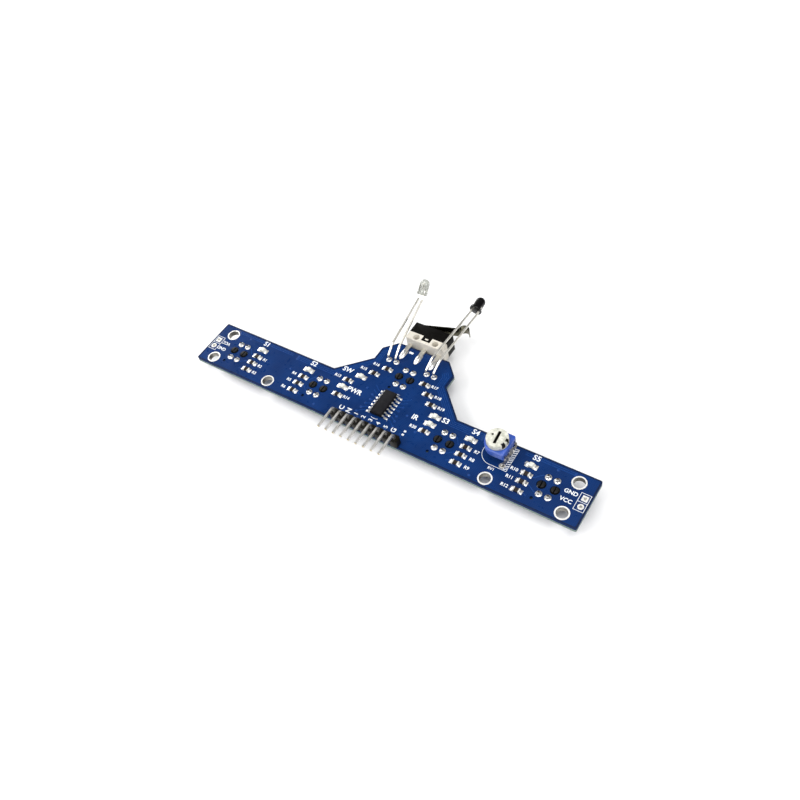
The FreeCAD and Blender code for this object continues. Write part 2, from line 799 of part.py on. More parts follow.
def make_proximity_head(side, route, rise, flange_radius, flat, leads):
    """A 3 mm round head: flange with a flat, straight barrel and domed end."""
    base, way = head_frame(side, route, rise)
    barrel_length = proximity_lens_length - proximity_lens_radius
    flange = Part.makeCylinder(flange_radius, proximity_flange_height, base, way)
    barrel = Part.makeCylinder(proximity_lens_radius, barrel_length, base, way)
    dome = Part.makeSphere(proximity_lens_radius, base + way * barrel_length)
    if flat is not None:
        wide = 4 * flange_radius
        bite = Part.makeBox(flange_radius, wide, 2 * proximity_flange_height,
                            V(flat, -wide / 2, -proximity_flange_height / 2))
        bite.Placement = FreeCAD.Placement(base, FreeCAD.Rotation(V(0, 0, 1), way))
        flange = flange.cut(bite)
    return joined([flange, barrel, dome]).cut(leads)


# ---------------------------------------------------------------- lever switch
switch_x0 = nose_parts_x - switch_length / 2
switch_x1 = nose_parts_x + switch_length / 2
switch_y0 = front_edge + switch_gap
switch_y1 = switch_y0 + switch_depth
switch_split = switch_y0 + switch_base_depth
switch_mid_z = top + switch_blade_lift + switch_blade_thickness / 2
switch_z0 = switch_mid_z - switch_thickness / 2
switch_z1 = switch_mid_z + switch_thickness / 2
hinge_x = switch_x0 + lever_hinge_inset
hinge_y = switch_y1 - lever_hinge_depth
plunger_x = hinge_x + plunger_arm
pocket_half = lever_strip_width / 2 + lever_cheek_gap
pocket_x1 = hinge_x + lever_cheek_radius + lever_pocket_relief
pocket_y0 = hinge_y - lever_cheek_radius - lever_pocket_relief


def make_switch_blades():
    """Three flat terminals that lie on the board and run through the base."""
    blades = []
    z0 = top + switch_blade_lift
    z1 = z0 + switch_blade_thickness
    half = switch_blade_width / 2
    half_post = switch_post_width / 2
    for n in (-1, 0, 1):
        x = nose_parts_x + n * switch_blade_pitch
        tip = switch_y0 - switch_blade_reach
        inner = switch_split + switch_contact_height
        blade = box(x - half, x + half, tip + half, switch_split, z0, z1)
        post = box(x - half_post, x + half_post, switch_split - overlap, inner, z0, z1)
        blades.append(joined([blade, post, rod(x, tip + half, half, z0, z1)]))
    return blades


def tab_block(half, y0, y1, depth, sign):
    """A block let into the upper (sign 1) or lower (sign -1) face of the switch."""
    face = switch_z1 if sign > 0 else switch_z0
    inner = face - sign * depth
    return box(nose_parts_x - half, nose_parts_x + half, y0, y1, min(face, inner), max(face, inner))


def make_switch_base(blades):
    """The ivory base: two screw holes, catches for the cover and a plug inside it."""
    body = box(switch_x0, switch_x1, switch_y0, switch_split, switch_z0, switch_z1)
    places = [(switch_x0, switch_y0), (switch_x1, switch_y0)]
    body = body.makeFillet(switch_corner, upright_edges(body, places))
    inset = switch_wall + switch_plug_gap
    plug = box(switch_x0 + inset, switch_x1 - inset, switch_split - overlap,
               switch_split + switch_plug_height, switch_z0 + inset, switch_z1 - inset)
    holes = [
        rod(nose_parts_x + s * switch_hole_pitch / 2, switch_y0 + switch_hole_edge,
            switch_hole_radius, -beyond, beyond)
        for s in (-1, 1)
    ]
    pockets = [
        tab_block(switch_tab_half, switch_split - switch_tab_drop, switch_split + overlap,
                  switch_tab_thickness, sign)
        for sign in (-1, 1)
    ]
    body = less(joined([body, plug]), holes + pockets)
    middle = switch_split - switch_tab_drop / 2
    wide, tall = switch_catch
    catches = [
        tab_block(wide / 2, middle - tall / 2, middle + tall / 2, switch_tab_thickness, sign)
        for sign in (-1, 1)
    ]
    return less(joined([body] + catches), blades)


def make_switch_cover():
    """The black cover: hollow, a windowed tab on each face, and a pocket with hinge bosses."""
    shell = box(switch_x0, switch_x1, switch_split, switch_y1, switch_z0, switch_z1)
    places = [(switch_x0, switch_y1), (switch_x1, switch_y1)]
    shell = shell.makeFillet(switch_cover_corner, upright_edges(shell, places))
    inner_x0 = switch_x0 + switch_wall
    inner_x1 = switch_x1 - switch_wall
    inner_z0 = switch_z0 + switch_wall
    inner_z1 = switch_z1 - switch_wall
    hollow_low = box(inner_x0, inner_x1, switch_split - overlap, pocket_y0 - lever_pocket_wall,
                     inner_z0, inner_z1)
    hollow_high = box(pocket_x1 + lever_pocket_wall, inner_x1, switch_split - overlap,
                      switch_y1 - switch_wall, inner_z0, inner_z1)
    bore = rod_along_y(plunger_x, switch_mid_z, plunger_radius + plunger_clearance,
                       switch_split, switch_y1 + overlap)
    pocket = box(switch_x0 - overlap, pocket_x1, pocket_y0, switch_y1 + overlap,
                 switch_mid_z - pocket_half, switch_mid_z + pocket_half)
    shell = less(shell, [hollow_low, hollow_high, bore, pocket])
    tabs = []
    middle = switch_split - switch_tab_drop / 2
    wide, tall = switch_window
    for sign in (-1, 1):
        tab = tab_block(switch_tab_half, switch_split - switch_tab_drop, switch_split + overlap,
                        switch_tab_thickness, sign)
        window = tab_block(wide / 2, middle - tall / 2, middle + tall / 2,
                           switch_tab_thickness, sign)
        tabs.append(tab.cut(window))
    reach = lever_cheek_gap + lever_cheek_thickness
    bosses = [
        rod(hinge_x, hinge_y, lever_boss_radius, switch_mid_z + pocket_half - reach,
            switch_mid_z + pocket_half + overlap),
        rod(hinge_x, hinge_y, lever_boss_radius, switch_mid_z - pocket_half - overlap,
            switch_mid_z - pocket_half + reach),
    ]
    return joined([shell] + tabs + bosses)


def make_switch_snap():
    """The snap-action blade inside the cover, resting on the contact posts."""
    low = switch_split + switch_contact_height
    half_x = switch_blade_pitch + switch_post_width / 2
    blade = box(nose_parts_x - half_x, nose_parts_x + half_x, low, low + switch_snap_thickness,
                switch_mid_z - switch_snap_width / 2, switch_mid_z + switch_snap_width / 2)
    half_slit = half_x - switch_snap_land
    slit = box(nose_parts_x - half_slit, nose_parts_x + half_slit, low - overlap, low + overlap * 3,
               switch_mid_z - switch_snap_slit / 2, switch_mid_z + switch_snap_slit / 2)
    return blade.cut(slit)


def make_plunger():
    """The plunger: a pin with a foot that keeps it in the cover."""
    slope = math.tan(math.radians(lever_angle))
    under = lever_arm_offset - lever_strip_thickness / 2
    strip_y = hinge_y + under / math.cos(math.radians(lever_angle)) + plunger_arm * slope
    end = strip_y - plunger_radius * slope - plunger_lever_gap
    foot_high = switch_y1 - switch_wall - plunger_foot_gap
    foot = rod_along_y(plunger_x, switch_mid_z, plunger_foot_radius,
                       foot_high - plunger_foot_height, foot_high)
    pin = rod_along_y(plunger_x, switch_mid_z, plunger_radius, foot_high - overlap, end)
    tip = [e for e in pin.Edges if abs(e.CenterOfMass.y - end) < tiny]
    return joined([foot, pin.makeFillet(plunger_tip, tip)])


def make_lever():
    """The steel lever: cheeks on the hinge bosses, straight strip and rounded bump at its end."""
    half_t = lever_strip_thickness / 2
    half_w = lever_strip_width / 2
    mid = lever_arm_offset
    r = lever_bump_radius
    bump_x = lever_straight + r
    strip = box(-lever_strip_start, lever_straight + half_t, mid - half_t, mid + half_t,
                -half_w, half_w)
    centre = V(bump_x, mid - half_t, -half_w)
    ring = Part.makeCylinder(r + half_t, lever_strip_width, centre)
    ring = ring.cut(Part.makeCylinder(r - half_t, lever_strip_width, centre))
    keep = box(bump_x - 2 * r, bump_x + 2 * r, mid - half_t, mid + 2 * r, -half_w, half_w)
    pieces = [strip, ring.common(keep)]
    for z0 in (half_w - lever_cheek_thickness, -half_w):
        z1 = z0 + lever_cheek_thickness
        pieces.append(rod(0, 0, lever_cheek_radius, z0, z1))
        pieces.append(box(-lever_strip_start, lever_cheek_radius, 0, mid + half_t, z0, z1))
    lever = joined(pieces)
    lever = lever.cut(rod(0, 0, lever_boss_radius + lever_boss_clearance, -half_w, half_w))
    lever.rotate(V(0, 0, 0), V(0, 0, 1), lever_angle)
    lever.translate(V(hinge_x, hinge_y, switch_mid_z))
    return lever


# ---------------------------------------------------------------- solder
def make_solder(sensor_leads, header_pins, trimmer_legs, proximity_leads):
    """Solder fillets on both faces, each cut to the lead that stands in it."""
    leads = sensor_leads + trimmer_legs + proximity_leads + header_pins
    upper = []
    for sensor in sensor_places():
        upper += [solder_cone(place, top, sensor_solder, 1) for place in sensor_lead_places(sensor)]
    lower = [solder_cone(place, 0, header_solder, -1) for place in header_places()]
    lower += [solder_cone(place, 0, trimmer_solder, -1) for place in trimmer_leg_places()]
    for side in (-1, 1):
        for place in proximity_lead_places(side):
            upper.append(solder_cone(place, top, proximity_solder, 1))
            lower.append(solder_cone(place, 0, proximity_solder_low, -1))
    return group([cone.cut(leads) for cone in upper]), group([cone.cut(leads) for cone in lower])


# ---------------------------------------------------------------- all the nodes
def make_nodes():
    """Every sub-part by name."""
    nodes = {"pcb_board": make_board(), "screw_hole_rings": make_screw_rings()}

    all_sensor_leads = []
    for number, place in enumerate(sensor_places(), 1):
        leads = make_sensor_leads(place)
        all_sensor_leads += leads
        nodes[f"sensor_{number}_housing"] = make_sensor_housing(place)
        nodes[f"sensor_{number}_emitter"] = make_sensor_element(place, 1, leads)
        nodes[f"sensor_{number}_detector"] = make_sensor_element(place, -1, leads)
        nodes[f"sensor_{number}_leads"] = group(leads)

    nodes["header_insulator"], nodes["header_pins"] = make_header()
    nodes["comparator_body"], nodes["comparator_leads"] = make_chip()
    nodes["resistor_bodies"], nodes["resistor_end_caps"] = make_resistors()
    nodes["lamp_bases"] = make_lamp_bases()
    for name, place in lamp_places().items():
        nodes[name] = make_lamp_lens(place)

    legs = make_trimmer_legs()
    nodes["trimmer_base"] = make_trimmer_base(legs)
    nodes["trimmer_legs"] = group(legs)
    nodes["trimmer_track"] = make_trimmer_track()
    nodes["trimmer_rotor"] = make_trimmer_rotor()
    nodes["trimmer_wiper"] = make_trimmer_wiper()

    emitter_leads = make_proximity_leads(
        -1, emitter_lead_route, emitter_head_rise, emitter_head_twist)
    receiver_leads = make_proximity_leads(
        1, receiver_lead_route, receiver_head_rise, receiver_head_twist)
    nodes["proximity_emitter_lens"] = make_proximity_head(
        -1, emitter_lead_route, emitter_head_rise, emitter_flange_radius, None, emitter_leads)
    nodes["proximity_emitter_leads"] = group(emitter_leads)
    nodes["proximity_receiver_body"] = make_proximity_head(
        1, receiver_lead_route, receiver_head_rise, receiver_flange_radius, receiver_flat,
        receiver_leads)
    nodes["proximity_receiver_leads"] = group(receiver_leads)

    blades = make_switch_blades()
    nodes["switch_base"] = make_switch_base(blades)
    nodes["switch_cover"] = make_switch_cover()
    nodes["switch_terminals"] = group(blades)
    nodes["switch_snap_blade"] = make_switch_snap()
    nodes["switch_plunger"] = make_plunger()
    nodes["switch_lever"] = make_lever()

    upper, lower = make_solder(
        all_sensor_leads, nodes["header_pins"].Solids, legs, emitter_leads + receiver_leads)
    nodes["solder_joints_top"] = upper
    nodes["solder_joints_underside"] = lower
    return nodes


def main():
    os.makedirs("parts", exist_ok=True)
    for name, shape in make_nodes().items():
        if not shape.isValid() or not shape.Solids:
            raise RuntimeError(f"{name} isn't a valid solid")
        shape.exportStep(f"parts/{name}.step")
        size = shape.BoundBox
        print(f"{name}: {len(shape.Solids)} solids, {shape.Volume:.2f} mm3, "
              f"x {size.XMin:.2f}..{size.XMax:.2f} y {size.YMin:.2f}..{size.YMax:.2f} "
              f"z {size.ZMin:.2f}..{size.ZMax:.2f}")


main()
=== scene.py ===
import math

import bmesh
import bpy
import numpy as np
from mathutils import Matrix, Vector


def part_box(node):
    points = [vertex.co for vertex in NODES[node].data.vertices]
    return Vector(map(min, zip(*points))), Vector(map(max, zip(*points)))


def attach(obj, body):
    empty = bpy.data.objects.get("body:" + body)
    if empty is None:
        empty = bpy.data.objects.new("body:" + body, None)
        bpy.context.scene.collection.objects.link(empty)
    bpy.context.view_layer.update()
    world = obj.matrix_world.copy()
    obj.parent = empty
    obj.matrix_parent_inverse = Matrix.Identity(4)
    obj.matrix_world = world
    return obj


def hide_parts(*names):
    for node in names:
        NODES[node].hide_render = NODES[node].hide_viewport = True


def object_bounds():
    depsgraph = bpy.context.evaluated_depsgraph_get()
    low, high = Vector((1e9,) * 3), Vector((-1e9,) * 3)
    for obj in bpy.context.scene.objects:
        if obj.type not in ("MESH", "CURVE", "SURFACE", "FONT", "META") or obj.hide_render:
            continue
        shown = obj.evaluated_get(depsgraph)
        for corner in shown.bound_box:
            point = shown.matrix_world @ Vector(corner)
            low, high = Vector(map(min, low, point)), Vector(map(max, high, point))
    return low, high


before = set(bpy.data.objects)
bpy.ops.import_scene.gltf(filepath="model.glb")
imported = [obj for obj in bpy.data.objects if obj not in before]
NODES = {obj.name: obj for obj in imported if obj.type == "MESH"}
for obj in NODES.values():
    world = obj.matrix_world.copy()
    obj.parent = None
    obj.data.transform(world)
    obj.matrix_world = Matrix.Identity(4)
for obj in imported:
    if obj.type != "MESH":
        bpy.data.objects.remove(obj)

MM = 0.001
CAD_BOX = [list(corner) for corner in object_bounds()]

# The two faces of the board, and the small lifts that stack what is printed or plated on them.
# All places and sizes below are in millimetres, unless a comment says otherwise.
LOW, HIGH = (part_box("pcb_board")[i].z / MM for i in (0, 1))
MASK_LIFT = 0.008
TRACE_LIFT = 0.022
INK_LIFT = 0.03
PAD_LIFT = 0.035
SUNK = 0.03


# ------------------------------------------------------------------------------------ surfaces
def grid_faces(rows, columns, wrap=False):
    """Quads between neighbouring rows and columns of a grid; wrap closes the columns."""
    last = columns if wrap else columns - 1
    r, c = np.meshgrid(np.arange(rows - 1), np.arange(last), indexing="ij")
    n = (c + 1) % columns
    return np.stack([r * columns + c, r * columns + n, (r + 1) * columns + n,
                     (r + 1) * columns + c], -1).reshape(-1, 4)


def piece(name, shapes, material, body="board", smooth=True, outward=True):
    """A new mesh piece from (points in millimetres, list of face arrays) pairs.

    Doubled points are welded; outward turns the faces of closed shapes to point out."""
    points, faces, start = [], [], 0
    for some_points, face_arrays in shapes:
        points.append(np.asarray(some_points, float).reshape(-1, 3) * MM)
        for array in face_arrays:
            faces += (np.asarray(array) + start).tolist()
        start += len(points[-1])
    mesh = bpy.data.meshes.new(name)
    mesh.from_pydata(np.concatenate(points).tolist(), [], faces)
    work = bmesh.new()
    work.from_mesh(mesh)
    bmesh.ops.remove_doubles(work, verts=work.verts, dist=1e-7)
    if outward:
        bmesh.ops.recalc_face_normals(work, faces=work.faces)
    work.to_mesh(mesh)
    work.free()
    mesh.polygons.foreach_set("use_smooth", np.full(len(mesh.polygons), smooth))
    mesh.materials.append(material)
    made = bpy.data.objects.new(name, mesh)
    bpy.context.scene.collection.objects.link(made)
    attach(made, body)
    return made


def ribbon(path, section, closed=False):
    """A section of (across, up) points carried along a flat path of (x, y) points.

    Each station is the path point plus across times the left normal over the cosine of half
    the turn there. An open path gets a face at both ends."""
    path = np.asarray(path, float)
    section = np.asarray(section, float)
    ahead = np.roll(path, -1, 0) - path if closed else np.diff(path, axis=0)
    way = ahead / np.linalg.norm(ahead, axis=1)[:, None]
    before = np.roll(way, 1, 0) if closed else np.vstack([way[:1], way])
    after = way if closed else np.vstack([way, way[-1:]])
    left = np.stack([-(before + after)[:, 1], (before + after)[:, 0]], -1)
    left /= np.linalg.norm(left, axis=1)[:, None]
    cosine = (np.stack([-before[:, 1], before[:, 0]], -1) * left).sum(1)
    left /= np.maximum(0.35, cosine)[:, None]
    flat = path[:, None] + left[:, None] * section[None, :, :1]
    up = np.broadcast_to(section[None, :, 1:], (len(path), len(section), 1))
    points = np.concatenate([flat, up], -1)
    if closed:
        points = np.concatenate([points, points[:1]])
        return points, [grid_faces(len(points), len(section), wrap=True)]
    n = len(section)
    ends = [np.arange(n)[None], (len(path) - 1) * n + np.arange(n)[None, ::-1]]
    return points, [grid_faces(len(points), n, wrap=True)] + ends


def flat_section(width, low, high):
    """A low strip: its foot is the full width and its top a little narrower."""
    half = width / 2
    edge = min(0.05, half / 3)
    return [(-half, low), (half, low), (half - edge, high), (edge - half, high)]


def turned(profile, place, way=(0, 0, 1), around=28):
    """A profile of (radius, height) points turned about the line through place along way.

    A point is the place, plus its height along the way, plus its radius along a spoke, and the
    spokes are cosine times one side direction plus sine times the other."""
    profile = np.asarray(profile, float)
    way = np.asarray(Vector(way).normalized())
    side = np.cross(way, (1, 0, 0)) if abs(way[0]) < 0.9 else np.cross(way, (0, 1, 0))
    side /= np.linalg.norm(side)
    other = np.cross(way, side)
    turn = np.linspace(0, 2 * math.pi, around, endpoint=False)
    spoke = np.cos(turn)[:, None] * side + np.sin(turn)[:, None] * other
    points = (np.asarray(place, float) + profile[:, None, 1:] * way
              + profile[:, None, :1] * spoke)
    return points, [grid_faces(len(profile), around, wrap=True)]


def tube(path, radius, around=6):
    """A round wire: at each path point a ring of cosine and sine times the radius, along two
    directions square to the path there. Both ends are closed."""
    path = np.asarray(path, float)
    way = np.gradient(path, axis=0)
    way /= np.linalg.norm(way, axis=1)[:, None]
    side = np.cross(way, (0.31, 0.17, 0.93))
    side /= np.linalg.norm(side, axis=1)[:, None]
    other = np.cross(way, side)
    turn = np.linspace(0, 2 * math.pi, around, endpoint=False)
    points = (path[:, None] + radius * (np.cos(turn)[None, :, None] * side[:, None]
                                        + np.sin(turn)[None, :, None] * other[:, None]))
    ends = [np.arange(around)[None, ::-1], (len(path) - 1) * around + np.arange(around)[None]]
    return points, [grid_faces(len(path), around, wrap=True)] + ends


def block(low, high, place=(0, 0, 0), axes=np.eye(3), round_by=0.12):
    """A rounded block between two corners, set on three axes at a place.

    A sphere's directions are raised to a small power, which squares the ball up, and scaled."""
    rows, columns = 13, 24
    tilt, turn = np.meshgrid(np.linspace(-math.pi / 2, math.pi / 2, rows),
                             np.linspace(0, 2 * math.pi, columns, endpoint=False), indexing="ij")

    def squared(value):
        return np.sign(value) * np.abs(value) ** round_by

    unit = np.stack([squared(np.cos(tilt)) * squared(np.cos(turn)),
                     squared(np.cos(tilt)) * squared(np.sin(turn)), squared(np.sin(tilt))], -1)
    low, high = np.asarray(low, float), np.asarray(high, float)
    local = (low + high) / 2 + unit * (high - low) / 2
    points = np.asarray(place, float) + local @ np.asarray(axes, float)
    return points, [grid_faces(rows, columns, wrap=True)]


def mounds(places, sides, across, along, rise):
    """The same low mound at each (x, y) place: a grid of across and along values, each point
    raised over the board's upper face by its rise.

    A side of -1 turns the mound half round, so its faces still point up."""
    places = np.asarray(places, float)
    sides = np.asarray(sides, float)[:, None, None]
    a, b = np.meshgrid(across, along, indexing="ij")
    points = np.stack([places[:, 0, None, None] + sides * a,
                       places[:, 1, None, None] + sides * b,
                       np.broadcast_to(HIGH + rise, (len(places),) + a.shape)], -1)
    size = a.size
    faces = grid_faces(len(across), len(along))[:, ::-1]
    every = (faces[None] + size * np.arange(len(places))[:, None, None]).reshape(-1, 4)
    return points, [every]


def skirted(values):
    """The values with the first and last doubled, for a wall that goes down into the board."""
    values = np.asarray(values, float)
    return np.concatenate([values[:1], values, values[-1:]])


def lettering(words, face=1):
    """Flat letters from (text, x, y, height, turn) rows on the upper (1) or lower (-1) face.

    A capital is 0.7 of the font's size. Letters on the lower face are turned over about X."""
    shapes = []
    for text, x, y, height, turn in words:
        curve = bpy.data.curves.new("word", "FONT")
        curve.body = text
        curve.size = height / 0.7
        curve.align_x = "CENTER"
        curve.align_y = "CENTER"
        curve.offset = 0.03 * height
        curve.resolution_u = 3
        holder = bpy.data.objects.new("word", curve)
        bpy.context.scene.collection.objects.link(holder)
        bpy.context.view_layer.update()
        mesh = bpy.data.meshes.new_from_object(holder)
        flat = np.empty(len(mesh.vertices) * 3)
        mesh.vertices.foreach_get("co", flat)
        mesh.calc_loop_triangles()
        corners = np.empty(len(mesh.loop_triangles) * 3, int)
        mesh.loop_triangles.foreach_get("vertices", corners)
        flat = flat.reshape(-1, 3)[:, :2]
        cos, sin = math.cos(math.radians(turn)), math.sin(math.radians(turn))
        flat = flat @ np.array([[cos, sin], [-sin, cos]])
        flat[:, 1] *= face
        up = HIGH + INK_LIFT if face > 0 else LOW - INK_LIFT
        points = np.column_stack([flat + (x, y), np.full(len(flat), up)])
        shapes.append((points, [corners.reshape(-1, 3)[:, ::face]]))
        bpy.data.objects.remove(holder)
        bpy.data.meshes.remove(mesh)
    return shapes


# ----------------------------------------------------------------------------------- materials
def paint(code):
    """An sRGB hex colour as linear red, green and blue, and full alpha."""
    channels = [int(code[i:i + 2], 16) / 255 for i in (1, 3, 5)]
    linear = [c / 12.92 if c <= 0.04045 else ((c + 0.055) / 1.055) ** 2.4 for c in channels]
    return linear + [1.0]


def add(tree, kind, sockets=None, out=None, **settings):
    """A node with its settings, and its sockets set to values or linked to other sockets.

    With out it gives that output socket, and otherwise the node."""
    made = tree.nodes.new(kind)
    for name, value in settings.items():
        setattr(made, name, value)
    for key, value in (sockets or {}).items():
        if isinstance(value, bpy.types.NodeSocket):
            tree.links.new(value, made.inputs[key])
        else:
            made.inputs[key].default_value = value
    return made if out is None else made.outputs[out]


def started(name):
    """A new material, its empty node tree, and the object coordinates in metres."""
    made = bpy.data.materials.new(name)
    made.use_nodes = True
    made.node_tree.nodes.clear()
    return made, made.node_tree, add(made.node_tree, "ShaderNodeTexCoord", out="Object")


def surfaced(tree, colour, roughness, height, depth, constants):
    """Ends a material: its colour, roughness, and a height whose bump is depth millimetres."""
    normal = add(tree, "ShaderNodeBump", {"Height": height, "Distance": depth * MM}, 0)
    sockets = {key.replace("_", " "): value for key, value in constants.items()}
    sockets |= {"Base Color": colour, "Roughness": roughness, "Normal": normal}
    surface = add(tree, "ShaderNodeBsdfPrincipled", sockets, 0)
    add(tree, "ShaderNodeOutputMaterial", {"Surface": surface})


# Noise mostly lies between these two values, so they are spread over a finish's whole range.
NOISE_LOW, NOISE_HIGH = 0.3, 0.7


def finish(name, tones, rough, grain, bump, patch=4.0, stretch=(1, 1, 1), **constants):
    """The common recipe: two tones in soft patches, roughness that follows the grain, fine bump.

    grain is the size of the surface's texture and patch that of its stains, in millimetres;
    bump is the texture's depth in millimetres; rough is the least and greatest roughness;
    stretch under 1 draws the grain out along that axis. Real grain of a hundredth or two of a
    millimetre is too fine to show, so it is drawn coarser, from 0.05 up."""
    made, tree, where = started(name)
    drawn_out = add(tree, "ShaderNodeMapping", {"Vector": where, "Scale": stretch}, 0)
    fine = add(tree, "ShaderNodeTexNoise",
               {"Vector": drawn_out, "Scale": 1 / (grain * MM), "Detail": 4.0}, "Fac")
    stain = add(tree, "ShaderNodeTexNoise",
                {"Vector": where, "Scale": 1 / (patch * MM), "Detail": 2.0}, "Fac")
    clouds = add(tree, "ShaderNodeMapRange", {"Value": stain, "From Min": NOISE_LOW,
                                              "From Max": NOISE_HIGH, "To Max": 0.7}, 0)
    specks = add(tree, "ShaderNodeMapRange", {"Value": fine, "From Min": NOISE_LOW,
                                              "From Max": NOISE_HIGH, "To Max": 0.3}, 0)
    share = add(tree, "ShaderNodeMath", {0: clouds, 1: specks}, 0, operation="ADD", use_clamp=True)
    colour = add(tree, "ShaderNodeMix", {0: share, 6: paint(tones[0]), 7: paint(tones[1])}, 2,
                 data_type="RGBA")
    roughness = add(tree, "ShaderNodeMapRange",
                    {"Value": fine, "From Min": NOISE_LOW, "From Max": NOISE_HIGH,
                     "To Min": rough[0], "To Max": rough[1]}, 0)
    surfaced(tree, colour, roughness, fine, bump, constants)
    return made


def wave_scale(period):
    """The scale at which a wave repeats at a period in millimetres: two pi over twenty periods."""
    return 2 * math.pi / (period * MM) / 20


def solder_mask(name, deep, bright, glass_shows):
    """Screen-coated blue epoxy mask, cured to a gloss: soft orange peel, the glass cloth's
    weave faintly under it every half millimetre, and cloudy patches of thicker ink. Faces that
    stand upright show the sawn laminate instead: grey-green resin with pale layers of cloth
    every fifth of a millimetre, and the ragged rim of the mask."""
    made, tree, where = started(name)
    cloud = add(tree, "ShaderNodeTexNoise",
                {"Vector": where, "Scale": 1 / (9.0 * MM), "Detail": 3.0}, "Fac")
    thick = add(tree, "ShaderNodeMapRange",
                {"Value": cloud, "From Min": NOISE_LOW, "From Max": NOISE_HIGH}, 0)
    ink = add(tree, "ShaderNodeMix", {0: thick, 6: paint(deep), 7: paint(bright)}, 2,
              data_type="RGBA")
    weave = {"Vector": where, "Scale": wave_scale(0.5), "Distortion": 0.6}
    warp = add(tree, "ShaderNodeTexWave", weave, "Fac", bands_direction="X")
    weft = add(tree, "ShaderNodeTexWave", weave, "Fac", bands_direction="Y")
    cloth = add(tree, "ShaderNodeMath", {0: warp, 1: weft}, 0, operation="MULTIPLY")
    faint = add(tree, "ShaderNodeMapRange", {"Value": cloth, "To Max": glass_shows}, 0)
    face = add(tree, "ShaderNodeMix", {0: faint, 6: ink, 7: paint("#3E7DC4")}, 2,
               data_type="RGBA")

    layers = add(tree, "ShaderNodeTexWave", {"Vector": where, "Scale": wave_scale(0.2),
                                             "Distortion": 3.0, "Detail": 3.0}, "Fac",
                 bands_direction="Z")
    resin = add(tree, "ShaderNodeMix", {0: layers, 6: paint("#5A6B68"), 7: paint("#93A29A")}, 2,
                data_type="RGBA")
    height = add(tree, "ShaderNodeSeparateXYZ", {0: where}, "Z")
    rags = add(tree, "ShaderNodeTexNoise",
               {"Vector": where, "Scale": 1 / (1.2 * MM), "Detail": 3.0}, "Fac")
    ragged = add(tree, "ShaderNodeMath", {0: rags, 1: 0.5 * MM, 2: height}, 0,
                 operation="MULTIPLY_ADD")
    rim = add(tree, "ShaderNodeMapRange",
              {"Value": ragged, "From Min": 0.9 * MM, "From Max": 1.2 * MM}, 0)
    sawn = add(tree, "ShaderNodeMix", {0: rim, 6: resin, 7: paint(deep)}, 2, data_type="RGBA")

    normal = add(tree, "ShaderNodeNewGeometry", out="Normal")
    up = add(tree, "ShaderNodeSeparateXYZ", {0: normal}, "Z")
    facing = add(tree, "ShaderNodeMath", {0: up}, 0, operation="ABSOLUTE")
    level = add(tree, "ShaderNodeMath", {0: facing, 1: 0.5}, 0, operation="GREATER_THAN")
    colour = add(tree, "ShaderNodeMix", {0: level, 6: sawn, 7: face}, 2, data_type="RGBA")
    peel = add(tree, "ShaderNodeTexNoise",
               {"Vector": where, "Scale": 1 / (1.1 * MM), "Detail": 2.0}, "Fac")
    gloss = add(tree, "ShaderNodeMapRange",
                {"Value": peel, "From Min": NOISE_LOW, "From Max": NOISE_HIGH,
                 "To Min": 0.26, "To Max": 0.36}, 0)
    rough = add(tree, "ShaderNodeMapRange", {"Value": level, "To Min": 0.75, "To Max": gloss}, 0)
    skin = add(tree, "ShaderNodeMath", {0: peel, 1: cloth}, 0, operation="ADD")
    surfaced(tree, colour, rough, skin, 0.006, {"IOR": 1.5, "Specular_IOR_Level": 0.14})
    return made


def drawn_metal(name, tones, cut, rough, axis, ends):
    """Plated or bare metal drawn along one axis: fine lines that way. Its end faces, which look
    along the axis and lie outside the two end places in millimetres, have the cut colour."""
    made, tree, where = started(name)
    stretch = [0.06 if letter == axis else 1.0 for letter in "XYZ"]
    drawn_out = add(tree, "ShaderNodeMapping", {"Vector": where, "Scale": stretch}, 0)
    lines = add(tree, "ShaderNodeTexNoise",
                {"Vector": drawn_out, "Scale": 1 / (0.07 * MM), "Detail": 3.0}, "Fac")
    stain = add(tree, "ShaderNodeTexNoise",
                {"Vector": where, "Scale": 1 / (1.6 * MM), "Detail": 2.0}, "Fac")
    share = add(tree, "ShaderNodeMapRange",
                {"Value": stain, "From Min": NOISE_LOW, "From Max": NOISE_HIGH}, 0)
    plate = add(tree, "ShaderNodeMix", {0: share, 6: paint(tones[0]), 7: paint(tones[1])}, 2,
                data_type="RGBA")

    normal = add(tree, "ShaderNodeNewGeometry", out="Normal")
    along = add(tree, "ShaderNodeSeparateXYZ", {0: normal}, axis)
    facing = add(tree, "ShaderNodeMath", {0: along}, 0, operation="ABSOLUTE")
    square = add(tree, "ShaderNodeMath", {0: facing, 1: 0.9}, 0, operation="GREATER_THAN")
    spot = add(tree, "ShaderNodeSeparateXYZ", {0: where}, axis)
    centre, half = (ends[0] + ends[1]) / 2 * MM, (ends[1] - ends[0]) / 2 * MM
    within = add(tree, "ShaderNodeMath", {0: spot, 1: centre, 2: half}, 0, operation="COMPARE")
    beyond = add(tree, "ShaderNodeMath", {0: 1.0, 1: within}, 0, operation="SUBTRACT")
    end = add(tree, "ShaderNodeMath", {0: square, 1: beyond}, 0, operation="MULTIPLY")
    colour = add(tree, "ShaderNodeMix", {0: end, 6: plate, 7: paint(cut)}, 2, data_type="RGBA")
    roughness = add(tree, "ShaderNodeMapRange",
                    {"Value": lines, "From Min": NOISE_LOW, "From Max": NOISE_HIGH,
                     "To Min": rough[0], "To Max": rough[1]}, 0)
    surfaced(tree, colour, roughness, lines, 0.004, {"Metallic": 1.0})
    return made


